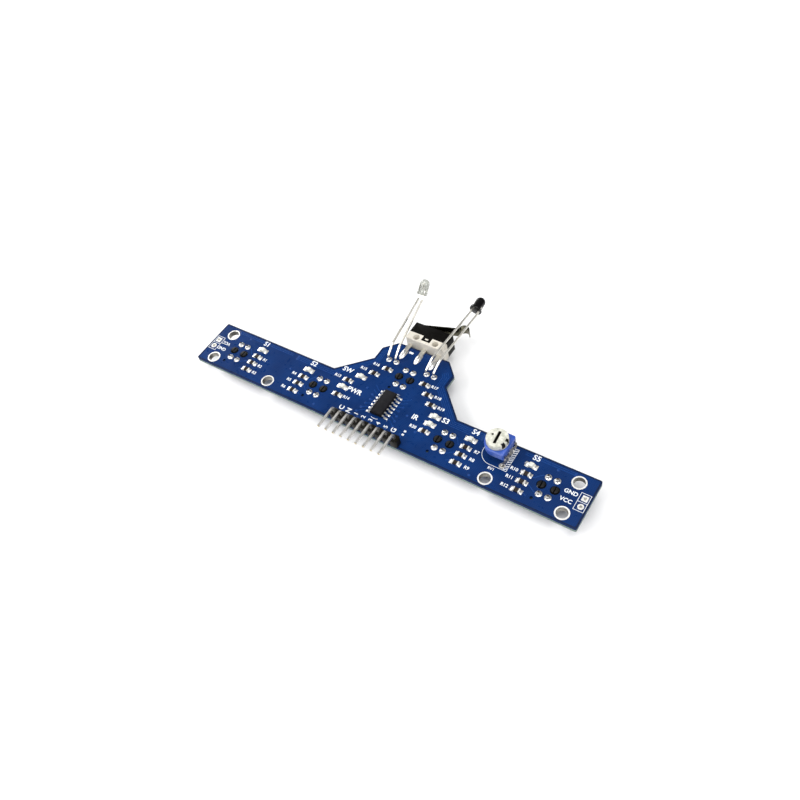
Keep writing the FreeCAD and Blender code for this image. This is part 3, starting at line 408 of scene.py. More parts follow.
# Blue mask: over the copper of the ground plane, over bare laminate at the edge, and over traces.
MASK = solder_mask("blue_mask_over_glass_epoxy", "#06214F", "#092C62", 0.06)
MASK_BARE = finish("blue_mask_on_bare_laminate", ("#041430", "#061A3C"), (0.25, 0.35), 0.9,
                   0.004, IOR=1.5, Specular_IOR_Level=0.25)
MASK_TRACE = finish("blue_mask_over_copper_trace", ("#0B326E", "#0E3B7A"), (0.25, 0.35), 0.9,
                    0.004, IOR=1.5, Specular_IOR_Level=0.25)
# Screened epoxy ink: dead white, matt, its edge a little ragged and thin in places.
INK = finish("white_legend_ink", ("#F4F6F5", "#D5DCE4"), (0.5, 0.7), 0.12, 0.01, 0.8,
             IOR=1.5)
# Hot-dipped tin on pads and eyelets: bright, with soft dull clouds and a faint orange peel.
TIN = finish("hot_dipped_tin", ("#FBFAF6", "#E0DED7"), (0.42, 0.6), 0.4, 0.010, 1.5,
             Metallic=1.0)
# Hand and wave solder: bright skin with small frosted grains where it froze.
SOLDER = finish("frozen_tin_solder", ("#FBFAF8", "#D6D4CE"), (0.2, 0.45), 0.18, 0.010, 0.7,
                Metallic=1.0)
# Tinned square brass wire of the header, drawn along Y, warm where it was cropped.
PINS = drawn_metal("tinned_brass_pin", ("#F6F4F0", "#D2CFC8"), "#B8A878", (0.3, 0.44), "Y",
                   (-13.4, 30.0))
# Sensor leads are cropped short, so the dull steel core shows on top.
LEADS = drawn_metal("tinned_lead_cropped", ("#DEDCD5", "#B3B0A8"), "#5B5652", (0.2, 0.4), "Z",
                    (-9.0, 2.6))
# Eyelets: bright tin on the faces round the holes; the barrels are painted darker, as painted shade
# inside the holes.
EYELET_TIN = drawn_metal("tinned_eyelet", ("#A9A69F", "#85827B"), "#FBFAF6", (0.4, 0.58), "Z",
                         (0.1, 1.5))
# Solder-dipped steel wire of the two bent-lead parts: bright, a little lumpy.
WIRE = finish("solder_dipped_steel_wire", ("#E9E6DE", "#C6C3B9"), (0.26, 0.44), 0.25, 0.008,
              2.0, Metallic=1.0)
# Tinned brass legs and lead frame, stamped from strip: greyer than the wire, with dull patches.
LEG = finish("tinned_brass_leg", ("#CFCBC0", "#98938A"), (0.2, 0.42), 0.3, 0.006, 1.5,
             Metallic=1.0)
# Chip leads: matt tin plate, bent and cropped.
CHIP_LEG = finish("matt_tin_plated_lead", ("#F6F5F1", "#D0CEC7"), (0.3, 0.5), 0.2, 0.006, 0.9,
                  Metallic=1.0)
# Rolled stainless strip: rolling lines along the lever, and a base colour painted dark olive in two
# tones, a painted reflection of the dark surroundings in place of bright steel.
STRIP = finish("rolled_stainless_strip", ("#85826F", "#4B493D"), (0.08, 0.2), 0.05, 0.003,
               2.5, (0.05, 0.05, 1), Metallic=1.0)
# Rolled phosphor bronze of the hidden springs: warm brown-gold with fine rolling lines.
SPRING = finish("phosphor_bronze_strip", ("#C58F5B", "#9A6838"), (0.2, 0.4), 0.06, 0.003, 2.0,
                (0.05, 1, 1), Metallic=1.0)
# Moulded nylon of the header: black with a brown cast, fine moulding grain.
NYLON = finish("moulded_black_nylon", ("#0B0A08", "#171510"), (0.35, 0.5), 0.15, 0.008, 3.0,
               IOR=1.53, Specular_IOR_Level=0.1)
# Sensor housings: spark-eroded mould gives the black resin an even fine matt.
HOUSING = finish("spark_textured_black_resin", ("#070708", "#101011"), (0.45, 0.65), 0.1,
                 0.012, 5.0, IOR=1.53, Specular_IOR_Level=0.25)
# Chip body: epoxy moulding compound, dark grey, matt from its mineral filler.
COMPOUND = finish("mineral_filled_epoxy_compound", ("#101013", "#1B1A1E"), (0.5, 0.72), 0.06,
                  0.008, 2.0, IOR=1.55, Specular_IOR_Level=0.1)
# Switch cover: black polyester from a polished mould, even and deep, with a low soft sheen.
COVER = finish("polished_black_polyester", ("#080706", "#100F0D"), (0.38, 0.52), 0.6, 0.004,
               4.0, IOR=1.57, Specular_IOR_Level=0.05)
# Switch base: unpigmented polyester, ivory, a little grubby, light goes a short way in.
IVORY = finish("ivory_polyester_moulding", ("#DFD9CE", "#C9C3B6"), (0.38, 0.55), 0.3, 0.006,
               2.2, IOR=1.55, Subsurface_Weight=0.15,
               Subsurface_Radius=(0.0006, 0.0005, 0.0004))
# Trimmer rotor: ivory plastic with grey smears from handling and adjusting.
ROTOR = finish("smeared_ivory_rotor", ("#E2E1D6", "#9D9F90"), (0.35, 0.55), 0.3, 0.01, 1.1,
               IOR=1.55, Subsurface_Weight=0.1, Subsurface_Radius=(0.0005, 0.0005, 0.0004))
TRIMMER_MIDDLE = ((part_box("trimmer_rotor")[0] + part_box("trimmer_rotor")[1]) / 2)[:2]


def shade_recesses(made, radius, depth):
    """Painted shade: near-black below a height, in millimetres, and within a radius of the
    trimmer's axis.
    """
    tree = made.node_tree
    shader = next(n for n in tree.nodes if n.type == "BSDF_PRINCIPLED")
    where = next(n for n in tree.nodes if n.type == "TEX_COORD").outputs["Object"]
    unshaded = shader.inputs["Base Color"].links[0].from_socket
    apart = add(tree, "ShaderNodeVectorMath", {0: where, 1: (*TRIMMER_MIDDLE, 0)}, 0,
                operation="SUBTRACT")
    flat = add(tree, "ShaderNodeVectorMath", {0: apart, 1: (1, 1, 0)}, 0, operation="MULTIPLY")
    reach = add(tree, "ShaderNodeVectorMath", {0: flat}, "Value", operation="LENGTH")
    near = add(tree, "ShaderNodeMath", {0: reach, 1: radius * MM}, 0, operation="LESS_THAN")
    height = add(tree, "ShaderNodeSeparateXYZ", {0: where}, "Z")
    low = add(tree, "ShaderNodeMapRange",
              {"Value": height, "From Min": (depth - 0.15) * MM, "From Max": depth * MM,
               "To Min": 1, "To Max": 0}, 0)
    inside = add(tree, "ShaderNodeMath", {0: near, 1: low}, 0, operation="MULTIPLY")
    # The near-black of the painted shade in the rotor's slot and notches.
    colour = add(tree, "ShaderNodeMix", {0: inside, 6: unshaded, 7: paint("#12110F")}, 2,
                 data_type="RGBA")
    tree.links.new(colour, shader.inputs["Base Color"])


# Painted shade on the walls of the slot and the notches: inside the rim, and below the rotor's
# face.
SHADE_RADIUS, SHADE_TOP = 2.93, 9.95
shade_recesses(ROTOR, SHADE_RADIUS, SHADE_TOP)
# Trimmer body: bright blue moulded polyester with a soft gloss.
TRIMMER = finish("royal_blue_polyester", ("#3557B6", "#284893"), (0.25, 0.4), 0.4, 0.006, 3.0,
                 IOR=1.57)
# Trimmer track: pressed and fired alumina, chalky off-white with a fine gritty surface.
CERAMIC = finish("pressed_alumina", ("#E4E0D6", "#CFCABD"), (0.5, 0.7), 0.08, 0.01, 1.0,
                 IOR=1.76)
# Chip resistors: overglaze on alumina, black with a warm brown cast.
GLAZE = finish("black_resistor_glaze", ("#1B1612", "#2D2420"), (0.18, 0.35), 0.1, 0.008, 0.6,
               IOR=1.52)
# Lamp base: white glass-filled board, matt. Its lens: pale, slightly milky cast epoxy.
LAMP_BASE = finish("white_lamp_laminate", ("#E9EBE4", "#D6D8CC"), (0.5, 0.7), 0.1, 0.006, 0.8,
                   IOR=1.5)
LAMP_LENS = finish("milky_cast_epoxy", ("#FBFBF4", "#ECEDE2"), (0.15, 0.28), 0.3, 0.004, 0.9,
                   IOR=1.53, Transmission_Weight=0.25)
# Near-black epoxy that passes only infrared: wet-looking gloss, faint violet depth.
DARK_EPOXY = finish("infrared_pass_black_epoxy", ("#050506", "#0C0A0D"), (0.2, 0.32), 0.8,
                    0.003, 2.0, IOR=1.54, Specular_IOR_Level=0.2)
# Water-clear epoxy of the infrared lamp: cast smooth, with a trace of grey in its depth.
CLEAR = finish("water_clear_cast_epoxy", ("#CFD1CA", "#B3B5AD"), (0.03, 0.1), 0.9, 0.002, 2.0,
               IOR=1.53, Transmission_Weight=0.66)
# Epoxy of the sensors' own lamps: cast like the clear one, dyed a pale blue.
TINTED = finish("blue_tinted_cast_epoxy", ("#BFD6EE", "#9FC0E2"), (0.03, 0.1), 0.8, 0.003, 2.0,
                IOR=1.53, Transmission_Weight=0.7)
# Bond wire: drawn gold, a warm bright thread.
GOLD = finish("drawn_gold_wire", ("#E5C07A", "#CFA558"), (0.15, 0.3), 0.05, 0.001, 0.5,
              Metallic=1.0)
# Lamp chip: a sawn block of semiconductor, dark red-brown with glossy sides.
DIE = finish("sawn_semiconductor_die", ("#5B2B22", "#3C1D1A"), (0.2, 0.4), 0.05, 0.002, 0.3,
             IOR=1.6)
# Studio floor: pale matt board, so evenly white that only the shadows show on it.
FLOOR = finish("pale_matt_board", ("#F6F6F6", "#F2F2F2"), (0.8, 0.9), 2.0, 0.002, 80.0, IOR=1.4)


# ------------------------------------------------------------------------------ camera and light
stage = bpy.context.scene
lens = bpy.data.cameras.new("camera")
lens.sensor_width = 36.0
lens.lens = 36.745
lens.clip_start = 0.005
lens.clip_end = 20.0
camera = bpy.data.objects.new("camera", lens)
# The camera's own right, up and back directions, and its place in metres.
CAMERA_AXES = [(0.82851, 0.53785, -0.15582), (-0.35093, 0.71556, 0.60400),
               (0.43636, -0.44574, 0.78160)]
CAMERA_PLACE = (0.10412, -0.09647, 0.18259)
camera.matrix_world = Matrix([(*row, 0) for row in CAMERA_AXES]
                             + [(*CAMERA_PLACE, 1)]).transposed()
stage.collection.objects.link(camera)
stage.camera = camera
stage.view_settings.view_transform = "Standard"

# Each light's name, place and size in metres, and power in watts. All face the origin.
for name, where, size, watts in (
    ("key_softbox", (-0.34, -0.40, 0.52), 0.50, 4.2),
    ("fill_softbox", (0.55, -0.15, 0.40), 0.45, 2.0),
    ("rim_softbox", (-0.60, 0.25, 0.20), 0.30, 2.0),
    ("top_softbox", (0.12, -0.02, 0.75), 0.60, 4.1),
):
    light = bpy.data.lights.new(name, "AREA")
    light.size = size
    light.energy = watts
    holder = bpy.data.objects.new(name, light)
    holder.location = where
    holder.rotation_euler = (-Vector(where)).to_track_quat("-Z", "Y").to_euler()
    stage.collection.objects.link(holder)

world = bpy.data.worlds.new("studio")
world.use_nodes = True
background = world.node_tree.nodes["Background"].inputs
background["Color"].default_value = paint("#F4F5F6")
background["Strength"].default_value = 0.2
stage.world = world

FLOOR_HALF = 2500.0
floor_z = CAD_BOX[0][2] / MM
floor = piece("floor", [(np.array([(-1, -1, 0), (1, -1, 0), (1, 1, 0), (-1, 1, 0)]) * FLOOR_HALF
                         + (0, 0, floor_z), [np.array([(0, 1, 2, 3)])])], FLOOR, outward=False)
floor.parent = None    # it rides on nothing, since it isn't part of the object


# ------------------------------------------------------------------------------------- places
def middle(node):
    """The middle of a CAD node's box, in millimetres."""
    low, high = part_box(node)
    return np.array((low + high) / 2) / MM


SENSORS = [middle(f"sensor_{n}_leads")[:2] for n in range(1, 6)]
# From a sensor's middle to its leads, and half the pitch of two leads or two power pads.
LEAD_STEP_X, LEAD_STEP_Y = 1.27, 2.75
HALF_PITCH = 1.27
SENSOR_LEADS = [(x + sx * LEAD_STEP_X, y + sy * LEAD_STEP_Y)
                for x, y in SENSORS for sy in (1, -1) for sx in (-1, 1)]
PIN_PITCH = 2.54
PIN_Y = middle("header_insulator")[1]
PINS_X = [(n - 4) * PIN_PITCH for n in range(9)]
LEGS_X, LEG_PITCH = 39.3, 2.5
TRIMMER_LEGS = [(LEGS_X, middle("trimmer_legs")[1] + n * LEG_PITCH) for n in (-1, 0, 1)]
# The switch is a little left of the board's middle, with a bent-lead part at each side.
SWITCH_X, SWITCH_TO_PART, NOSE_LEADS_Y = -0.25, 6.55, 18.05
NOSE_LEADS = [(SWITCH_X + side * SWITCH_TO_PART + s * HALF_PITCH, NOSE_LEADS_Y)
              for side in (-1, 1) for s in (-1, 1)]
TERMINAL_PITCH, TERMINALS_Y = 5.08, 22.0
TERMINALS_X = [SWITCH_X + n * TERMINAL_PITCH for n in (-1, 0, 1)]
LAMPS = [middle(n)[:2] for n in sorted(NODES) if n.startswith("lamp_") and n != "lamp_bases"]
COLUMNS_X, ROWS_Y = (-46.0, -27.9, 27.9, 46.0), (1.1, -1.55, -4.35)
NOSE_RESISTORS = [(-14.8, 6.0), (-14.7, 0.3), (-9.1, 11.55), (-6.4, 14.6),
                  (6.6, 14.45), (9.3, 11.65), (12.1, 9.0), (15.0, 0.55)]
RESISTORS = [(x, y) for x in COLUMNS_X for y in ROWS_Y] + NOSE_RESISTORS
POWER_X, POWER_Y = 62.25, 0.05
CHIP_Y = middle("comparator_body")[1]
CHIP_PITCH = 1.27
CHIP_LEADS = [CHIP_Y + (n - 3) * CHIP_PITCH for n in range(7)]


# ------------------------------------------------------------------------------ board's surface
CORNER = 0.5
# The outline's corners on the right, (x, y) and whether the corner is round.
RIGHT_SIDE = [(64.0, -7.4, True), (64.0, 8.0, True), (21.35, 8.0, False), (12.5, 16.65, False),
              (12.5, 21.05, True), (8.7, 24.9, True)]


def edge_path(inset):
    """The board's outline inset by a distance.

    A round corner is a curve weighted by the square of the share left, twice the product of
    both shares, and the square of the share gone, on its start, its corner and its end, which
    lie the radius times the tangent of half the turn from the corner. Each point then moves in
    along the mean normal by the inset over the cosine of half the turn there."""
    corners = RIGHT_SIDE + [(-x, y, is_round) for x, y, is_round in reversed(RIGHT_SIDE)]
    point = np.array([corner[:2] for corner in corners])
    is_round = np.array([corner[2] for corner in corners])
    out = np.roll(point, -1, 0) - point
    out /= np.linalg.norm(out, axis=1)[:, None]
    into = np.roll(out, 1, 0)
    turn = np.arccos(np.clip((into * out).sum(1), -1, 1))
    trim = (is_round * CORNER * np.tan(turn / 2))[:, None]
    gone = np.linspace(0, 1, 7)[:, None]
    arcs = ((1 - gone) ** 2 * (point - into * trim)[:, None]
            + 2 * gone * (1 - gone) * point[:, None] + gone ** 2 * (point + out * trim)[:, None])
    path = arcs[is_round[:, None] | (np.arange(7) == 0)]
    way = np.roll(path, -1, 0) - path
    way /= np.linalg.norm(way, axis=1)[:, None]
    mean = way + np.roll(way, 1, 0)
    mean /= np.linalg.norm(mean, axis=1)[:, None]
    normal = np.stack([-mean[:, 1], mean[:, 0]], -1)
    cosine = (normal * np.stack([-way[:, 1], way[:, 0]], -1)).sum(1)
    return path + normal * (inset / cosine)[:, None]


# The copper stops short of the edge, so the mask is darker in a band all round both faces.
BAND, FROM_EDGE = 0.45, 0.02
bands = [ribbon(edge_path(FROM_EDGE + BAND / 2), flat_section(BAND, z0, z1), closed=True)
         for z0, z1 in ((HIGH - SUNK, HIGH + MASK_LIFT), (LOW + SUNK, LOW - MASK_LIFT))]
piece("mask_edge_bands", bands, MASK_BARE, smooth=False)


def lane(points, count, pitch, mirror=1):
    """A bundle of parallel runs to the right of a path, or its mirror copy across the board.

    Each run is the path moved by a whole number of pitches along the mean normal, over the
    cosine of half the turn there."""
    points = np.asarray(points, float)
    way = np.diff(points, axis=0)
    way /= np.linalg.norm(way, axis=1)[:, None]
    before, after = np.vstack([way[:1], way]), np.vstack([way, way[-1:]])
    mean = (before + after) / np.linalg.norm(before + after, axis=1)[:, None]
    side = np.stack([mean[:, 1], -mean[:, 0]], -1)
    side /= np.maximum(0.35, (side * np.stack([before[:, 1], -before[:, 0]], -1)).sum(1))[:, None]
    return [(points + side * (n * pitch)) * (mirror, 1) for n in range(count)]


TOP_PITCH, LOW_PITCH = 0.55, 0.6
ALONG_NOSE = [(10.2, 21.3), (11.5, 19.9), (11.5, 16.2), (20.9, 7.0)]
TOP_RUNS = (
    lane(ALONG_NOSE + [(30.6, 7.0)], 4, TOP_PITCH)
    + lane(ALONG_NOSE + [(34.0, 7.0)], 3, TOP_PITCH, -1)
    + lane([(43.0, 7.0), (57.2, 7.0)], 2, TOP_PITCH)
    + lane([(36.0, 7.0), (57.2, 7.0)], 2, TOP_PITCH, -1)
)
BOTTOM_RUNS = []
for k, x in enumerate(PINS_X):
    reach = -3.9 - 0.35 * (k % 2)
    TOP_RUNS.append(np.array([(x, PIN_Y + 1.4), (x, reach), (x * 0.93, reach + abs(x) * 0.07)]))
    turn_y = -4.4 + 0.5 * abs(k - 4)
    BOTTOM_RUNS.append(np.array([(x, PIN_Y), (x, turn_y), (x * 3.1, turn_y)]))
for y in CHIP_LEADS:
    for side in (-1, 1):
        fan = (y - CHIP_Y) * 0.35
        TOP_RUNS.append(np.array([(side * 3.4, y), (side * 4.4, y),
                                  (side * (4.9 + abs(fan)), y + fan)]))
for column, sensor in ((0, 0), (1, 1), (2, 3), (3, 4)):
    x, (sx, sy) = COLUMNS_X[column], SENSORS[sensor]
    side = 1 if sx > x else -1
    TOP_RUNS.append(np.array([(x + side * 1.5, ROWS_Y[2]), (x + side * 2.3, ROWS_Y[2]),
                              (x + side * 2.8, ROWS_Y[2] - 0.5)]))
    for y, tip in zip(ROWS_Y, (LEAD_STEP_Y, -LEAD_STEP_Y)):
        TOP_RUNS.append(np.array([(x + side * 1.5, y), (x + side * 2.3, y),
                                  (sx - side * (LEAD_STEP_X + 1.5), sy + tip),
                                  (sx - side * LEAD_STEP_X, sy + tip)]))
    BOTTOM_RUNS += lane([(sx - side * 4.2, 6.3), (sx - side * 14.0, 6.3)], 3, LOW_PITCH)
for mirror in (1, -1):
    BOTTOM_RUNS += lane([(-56.0, -0.4), (-15.5, -0.4), (-12.2, 2.9), (-12.2, 5.0), (-9.8, 7.4)],
                        4, LOW_PITCH, mirror)
BOTTOM_RUNS += lane([(-6.0, 20.3), (-10.6, 17.0), (-10.6, 10.5), (-6.5, 6.4), (6.5, 6.4)],
                    3, LOW_PITCH)

TRACE_WIDTH = 0.3
top_trace = flat_section(TRACE_WIDTH, HIGH - SUNK, HIGH + TRACE_LIFT)
low_trace = flat_section(TRACE_WIDTH, LOW + SUNK, LOW - TRACE_LIFT)
piece("copper_traces_top", [ribbon(run, top_trace) for run in TOP_RUNS], MASK_TRACE,
      smooth=False)
piece("copper_traces_underside", [ribbon(run, low_trace) for run in BOTTOM_RUNS], MASK_TRACE,
      smooth=False)

# Plated through-holes covered by mask: a low ring with a dimple, on both faces. One ends each of
# the first runs on the upper face, and the last few stand alone.
VIA = [(0.0, 0.004), (0.1, 0.006), (0.17, 0.03), (0.27, 0.034), (0.36, 0.02), (0.4, -SUNK)]
RUNS_WITH_VIA = 30
via_places = [run[-1] for run in TOP_RUNS[:RUNS_WITH_VIA]]
via_places += [(-33.5, 2.0), (33.0, -5.9), (-19.0, -5.6), (12.9, -0.7), (-52.7, 5.9), (52.7, 5.9),
               (-8.0, 6.3), (7.9, 3.0)]
vias = [turned(VIA, (x, y, HIGH), around=16) for x, y in via_places]
vias += [turned(VIA, (x, y, LOW), (0, 0, -1), around=16) for x, y in via_places]
piece("tented_vias", vias, MASK_TRACE)


# ------------------------------------------------------------------------------ pads and solder
def toe_fillets(toe, pad_end, half_pad, climb, heel):
    """Heights over a pad: flat under the part, then a hollow slope from the part's end, at the
    climb, down to the pad's end as a power of the share of the way, falling off at both sides."""
    stations = toe + (pad_end - toe) * np.array([0.08, 0.18, 0.32, 0.5, 0.7, 0.88, 0.97, 1.0])
    across = skirted(np.concatenate([[heel, toe - 0.03, toe], stations]))
    half = np.array([0.3, 0.6, 0.85, 0.97, 1])
    along = skirted(half_pad * np.concatenate([-half[::-1], [0], half]))
    a, b = np.meshgrid(across, along / half_pad, indexing="ij")
    share = np.clip((a - toe) / (pad_end - toe), 0, 1)
    slope = climb * (1 - share) ** 2.2 * (1 - np.abs(b) ** 5)
    rise = np.where(a < toe - 0.01, 0.02, PAD_LIFT + slope)
    rise *= 1 - 0.6 * np.clip(share - 0.88, 0, 1) / 0.12
    rise[[0, -1]] = -SUNK
    rise[:, [0, -1]] = -SUNK
    return across, along, rise


def joints_at(places, toe, pad_end, half_pad, climb, heel):
    """The fillets at both ends of parts that lie along X."""
    both = [p for p in places for _ in (-1, 1)]
    across, along, rise = toe_fillets(toe, pad_end, half_pad, climb, heel)
    return mounds(both, [-1, 1] * len(places), across, along, rise)


piece("resistor_solder", [joints_at(RESISTORS, 1.0, 1.72, 0.68, 0.36, 0.55)], SOLDER,
      outward=False)
piece("lamp_solder", [joints_at(LAMPS, 1.0, 1.8, 0.78, 0.24, 0.55)], SOLDER,
      outward=False)
piece("chip_solder", [mounds([(0, y) for y in CHIP_LEADS for _ in (-1, 1)],
                             [-1, 1] * len(CHIP_LEADS), *toe_fillets(3.2, 3.62, 0.31, 0.14, 2.3))],
      SOLDER, outward=False)

# A heap over each terminal: a round-topped oval, OVAL times as long as it is wide, whose height
# falls as a power of one less the square of the share of the way out.
HEAP_RADIUS, HEAP_HEIGHT, OVAL = 0.98, 0.55, 2.45
share = np.linspace(1, 0, 11)
top = np.column_stack([HEAP_RADIUS * share, PAD_LIFT + HEAP_HEIGHT * (1 - share ** 2) ** 0.7])
heap = np.vstack([(HEAP_RADIUS, -SUNK), top])
heaps = []
for x in TERMINALS_X:
    points, faces = turned(heap, (x, 0, HIGH), around=36)
    heaps.append((points * (1, OVAL, 1) + (0, TERMINALS_Y, 0), faces))
piece("terminal_solder", heaps, SOLDER)


def joint_profile(foot, neck, height):
    """A wetted joint: a thin pad, then a hollow curve up to the lead as a power of the way in."""
    share = np.linspace(0, 1, 9)
    curve = np.column_stack([foot - 0.1 - (foot - 0.1 - neck) * share,
                             PAD_LIFT + height * share ** 2.4])
    pad = [(foot, -SUNK), (foot, PAD_LIFT * 0.6), (foot - 0.04, PAD_LIFT)]
    return np.vstack([pad, curve, (0.05, height * 0.97)])


DOWN = (0, 0, -1)
top_joints = [turned(joint_profile(0.92, 0.3, 0.62), (x, y, HIGH)) for x, y in SENSOR_LEADS]
top_joints += [turned(joint_profile(0.9, 0.32, 0.85), (x, y, HIGH)) for x, y in NOSE_LEADS]
joints_top = piece("solder_fillets_top", top_joints, SOLDER)
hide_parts("solder_joints_top")
low_joints = [turned(joint_profile(0.92, 0.36, 0.78), (x, PIN_Y, LOW), DOWN) for x in PINS_X]
low_joints += [turned(joint_profile(0.85, 0.3, 0.7), (x, y, LOW), DOWN) for x, y in TRIMMER_LEGS]
low_joints += [turned(joint_profile(0.85, 0.3, 0.6), (x, y, LOW), DOWN) for x, y in NOSE_LEADS]
joints_low = piece("solder_fillets_underside", low_joints, SOLDER)
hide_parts("solder_joints_underside")

# Bare plated pads: ring, barrel, ring. The header and trimmer leads have a ring on the upper face.
THICK = HIGH - LOW
EYELET = [(0.42, -PAD_LIFT), (0.42, THICK + PAD_LIFT), (0.85, THICK + PAD_LIFT),
          (0.88, THICK - SUNK), (0.5, THICK - SUNK), (0.5, SUNK), (0.88, SUNK),
          (0.85, -PAD_LIFT), (0.42, -PAD_LIFT)]
pads = [turned(EYELET, (sx * POWER_X, POWER_Y + sy * HALF_PITCH, LOW))
        for sx in (-1, 1) for sy in (-1, 1)]
RING = [(0.4, -SUNK), (0.4, PAD_LIFT), (0.86, PAD_LIFT), (0.9, -SUNK)]
pads += [turned(RING, (x, y, HIGH)) for x, y in TRIMMER_LEGS]
pads += [turned(RING, (x, PIN_Y, HIGH)) for x in PINS_X]


def square_pad(x, y, half, z):
    """A square pad with a round hole: radius goes from the hole's to the square's, which is half
    over the larger of cosine and sine. It stands just clear of the round ring under it."""
    around, clear = 40, 0.012
    turn = np.linspace(0, 2 * math.pi, around, endpoint=False)
    edge = half / np.maximum(np.abs(np.cos(turn)), np.abs(np.sin(turn)))
    radius = np.stack([np.full(around, 0.45), np.full(around, 0.46), edge - 0.03, edge])
    height = np.array([z - SUNK, z + PAD_LIFT, z + PAD_LIFT, z - SUNK]) + clear
    points = np.stack([x + radius * np.cos(turn), y + radius * np.sin(turn),
                       np.broadcast_to(height[:, None], radius.shape)], -1)
    return points, [grid_faces(4, around, wrap=True)]


pads += [square_pad(sx * POWER_X, POWER_Y + HALF_PITCH, 0.85, HIGH) for sx in (-1, 1)]
piece("bare_pads", pads, TIN, smooth=False)


# ------------------------------------------------------------------------------ printed legend
# Each label's text, middle x and y, capital height and turn in degrees.
LABELS = [
    ("S1", -46.4, 6.5, 1.6, 0), ("S2", -27.9, 6.7, 1.6, 0), ("S3", 18.6, 6.2, 1.6, 0),
    ("S4", 28.0, 6.6, 1.6, 0), ("S5", 46.3, 6.6, 1.6, 0), ("SW", -17.1, 9.3, 1.6, 0),
    ("PWR", -10.8, 3.6, 1.6, 0), ("IR", 10.2, 3.5, 1.6, 0), ("GND", 58.4, 1.4, 1.15, 0),
    ("VCC", 58.2, -1.2, 1.15, 0), ("VCC", -59.0, 1.2, 1.05, 180), ("GND", -59.1, -1.1, 1.05, 180),
    ("C", -10.7, -2.9, 1.5, 90), ("N", -8.2, -2.9, 1.5, 90), ("1", -5.6, -2.9, 1.25, 90),
    ("2", -3.1, -2.9, 1.25, 90), ("3", -0.6, -2.9, 1.25, 90), ("4", 2.0, -2.9, 1.25, 90),
    ("5", 4.6, -2.9, 1.25, 90), ("G", 7.2, -2.9, 1.5, 90), ("RV1", 37.1, -1.6, 0.8, 0),
]
RESISTOR_LABELS = [(x, y) for x in (-43.0, -31.4, 31.3, 42.5) for y in ROWS_Y]
RESISTOR_LABELS += [(-18.7, 6.3), (-11.6, 0.5), (-13.1, 11.9), (-10.5, 14.8), (9.7, 14.8),
                    (12.5, 12.0), (15.3, 9.1), (11.3, 0.6)]
LABELS += [(f"R{n}", x, y, 0.95, 0) for n, (x, y) in enumerate(RESISTOR_LABELS, 1)]
LINE = flat_section(0.16, HIGH - SUNK, HIGH + INK_LIFT)
HATCH = flat_section(0.3, HIGH - SUNK, HIGH + INK_LIFT)
BAR = flat_section(0.75, HIGH - SUNK, HIGH + INK_LIFT)
turn = np.linspace(math.pi / 2, 3 * math.pi / 2, 25)
RING_X, RING_Y, RING_RADIUS = 36.0, 3.1, 3.7
trimmer_ring = np.column_stack([RING_X + RING_RADIUS * np.cos(turn),
                                RING_Y + RING_RADIUS * np.sin(turn)])
# Each drawn line's points, and whether it closes.
drawn = [
    (np.vstack([[(41.0, 6.8)], trimmer_ring, [(41.0, -0.6)]]), True),
    ([(40.0, 6.8), (40.0, -0.6)], False),
    ([(60.75, 2.65), (63.45, 2.65), (63.45, -2.55), (60.75, -2.55)], True),
    ([(60.75, 0.05), (63.45, 0.05)], False),
    ([(-60.75, 2.65), (-63.45, 2.65), (-63.45, -2.55), (-60.75, -2.55)], True),
    ([(-60.75, 0.05), (-63.45, 0.05)], False),
    ([(-1.2, -1.75), (-0.6, -2.0), (0.4, -2.0), (1.0, -1.75)], False),
    ([(-2.0, 8.1), (2.0, 8.1)], False),
    ([(10.3, -3.2), (10.3, -2.7)], False), ([(10.3, -2.2), (10.3, -1.7)], False),
]
legend = lettering(LABELS) + [ribbon(path, LINE, closed) for path, closed in drawn]
legend += [ribbon([(40.1, -0.3 + 0.78 * n), (40.9, 0.3 + 0.78 * n)], HATCH) for n in range(9)]
legend += [ribbon([(-4.1, 23.0), (-2.7, 23.0)], BAR), ribbon([(10.3, -3.3), (10.3, -2.7)], BAR),
           ribbon([(10.3, -2.1), (10.3, -1.5)], BAR)]
piece("printed_legend_top", legend, INK, smooth=False, outward=False)

LOW_LINE = flat_section(0.18, LOW + SUNK, LOW - INK_LIFT)
outlines = [([(x - 3.2, y - 5.4), (x + 3.2, y - 5.4), (x + 3.2, y + 5.4), (x - 3.2, y + 5.4)], True)
            for x, y in SENSORS]
outlines.append(([(-11.8, -4.9), (11.8, -4.9), (11.8, -7.2), (-11.8, -7.2)], True))
LOW_LABELS = [(f"S{n}", x + 5.0, y, 1.35, 0) for n, (x, y) in enumerate(SENSORS, 1)]
LOW_LABELS += [(text, x, -3.9, 1.0, 0)
               for text, x in (("G", 10.2), ("C", -10.2), ("1", -5.1), ("5", 5.1))]
legend = lettering(LOW_LABELS, -1) + [ribbon(path, LOW_LINE, closed) for path, closed in outlines]
piece("printed_legend_underside", legend, INK, smooth=False, outward=False)


# -------------------------------------------------------------------- lamps and their insides
# A metal end each side of the lamp, and inside it a chip and its wire, which rises as a sine.
lamp_parts, dies, wires = [], [], []
LAMP_LOW = HIGH + 0.03
END_X, DIE_TOP = 0.83, LAMP_LOW + 0.42
share = np.linspace(0, 1, 9)
for x, y in LAMPS:
    for side in (-1, 1):
        lamp_parts.append(block((x + side * END_X - 0.2, y - 0.6, LAMP_LOW - 0.02),
                                (x + side * END_X + 0.2, y + 0.6, LAMP_LOW + 0.34),
                                round_by=0.2))
    dies.append(block((x - 0.32, y - 0.14, LAMP_LOW + 0.3), (x - 0.04, y + 0.14, DIE_TOP)))
    arch = DIE_TOP + 0.22 * np.sin(math.pi * share) - 0.1 * share
    wires.append(tube(np.column_stack([x - 0.18 + 0.6 * share, np.full(9, y), arch]), 0.02))
piece("lamp_end_terminals", lamp_parts, TIN)
piece("lamp_dies", dies, DIE)
piece("lamp_bond_wires", wires, GOLD)


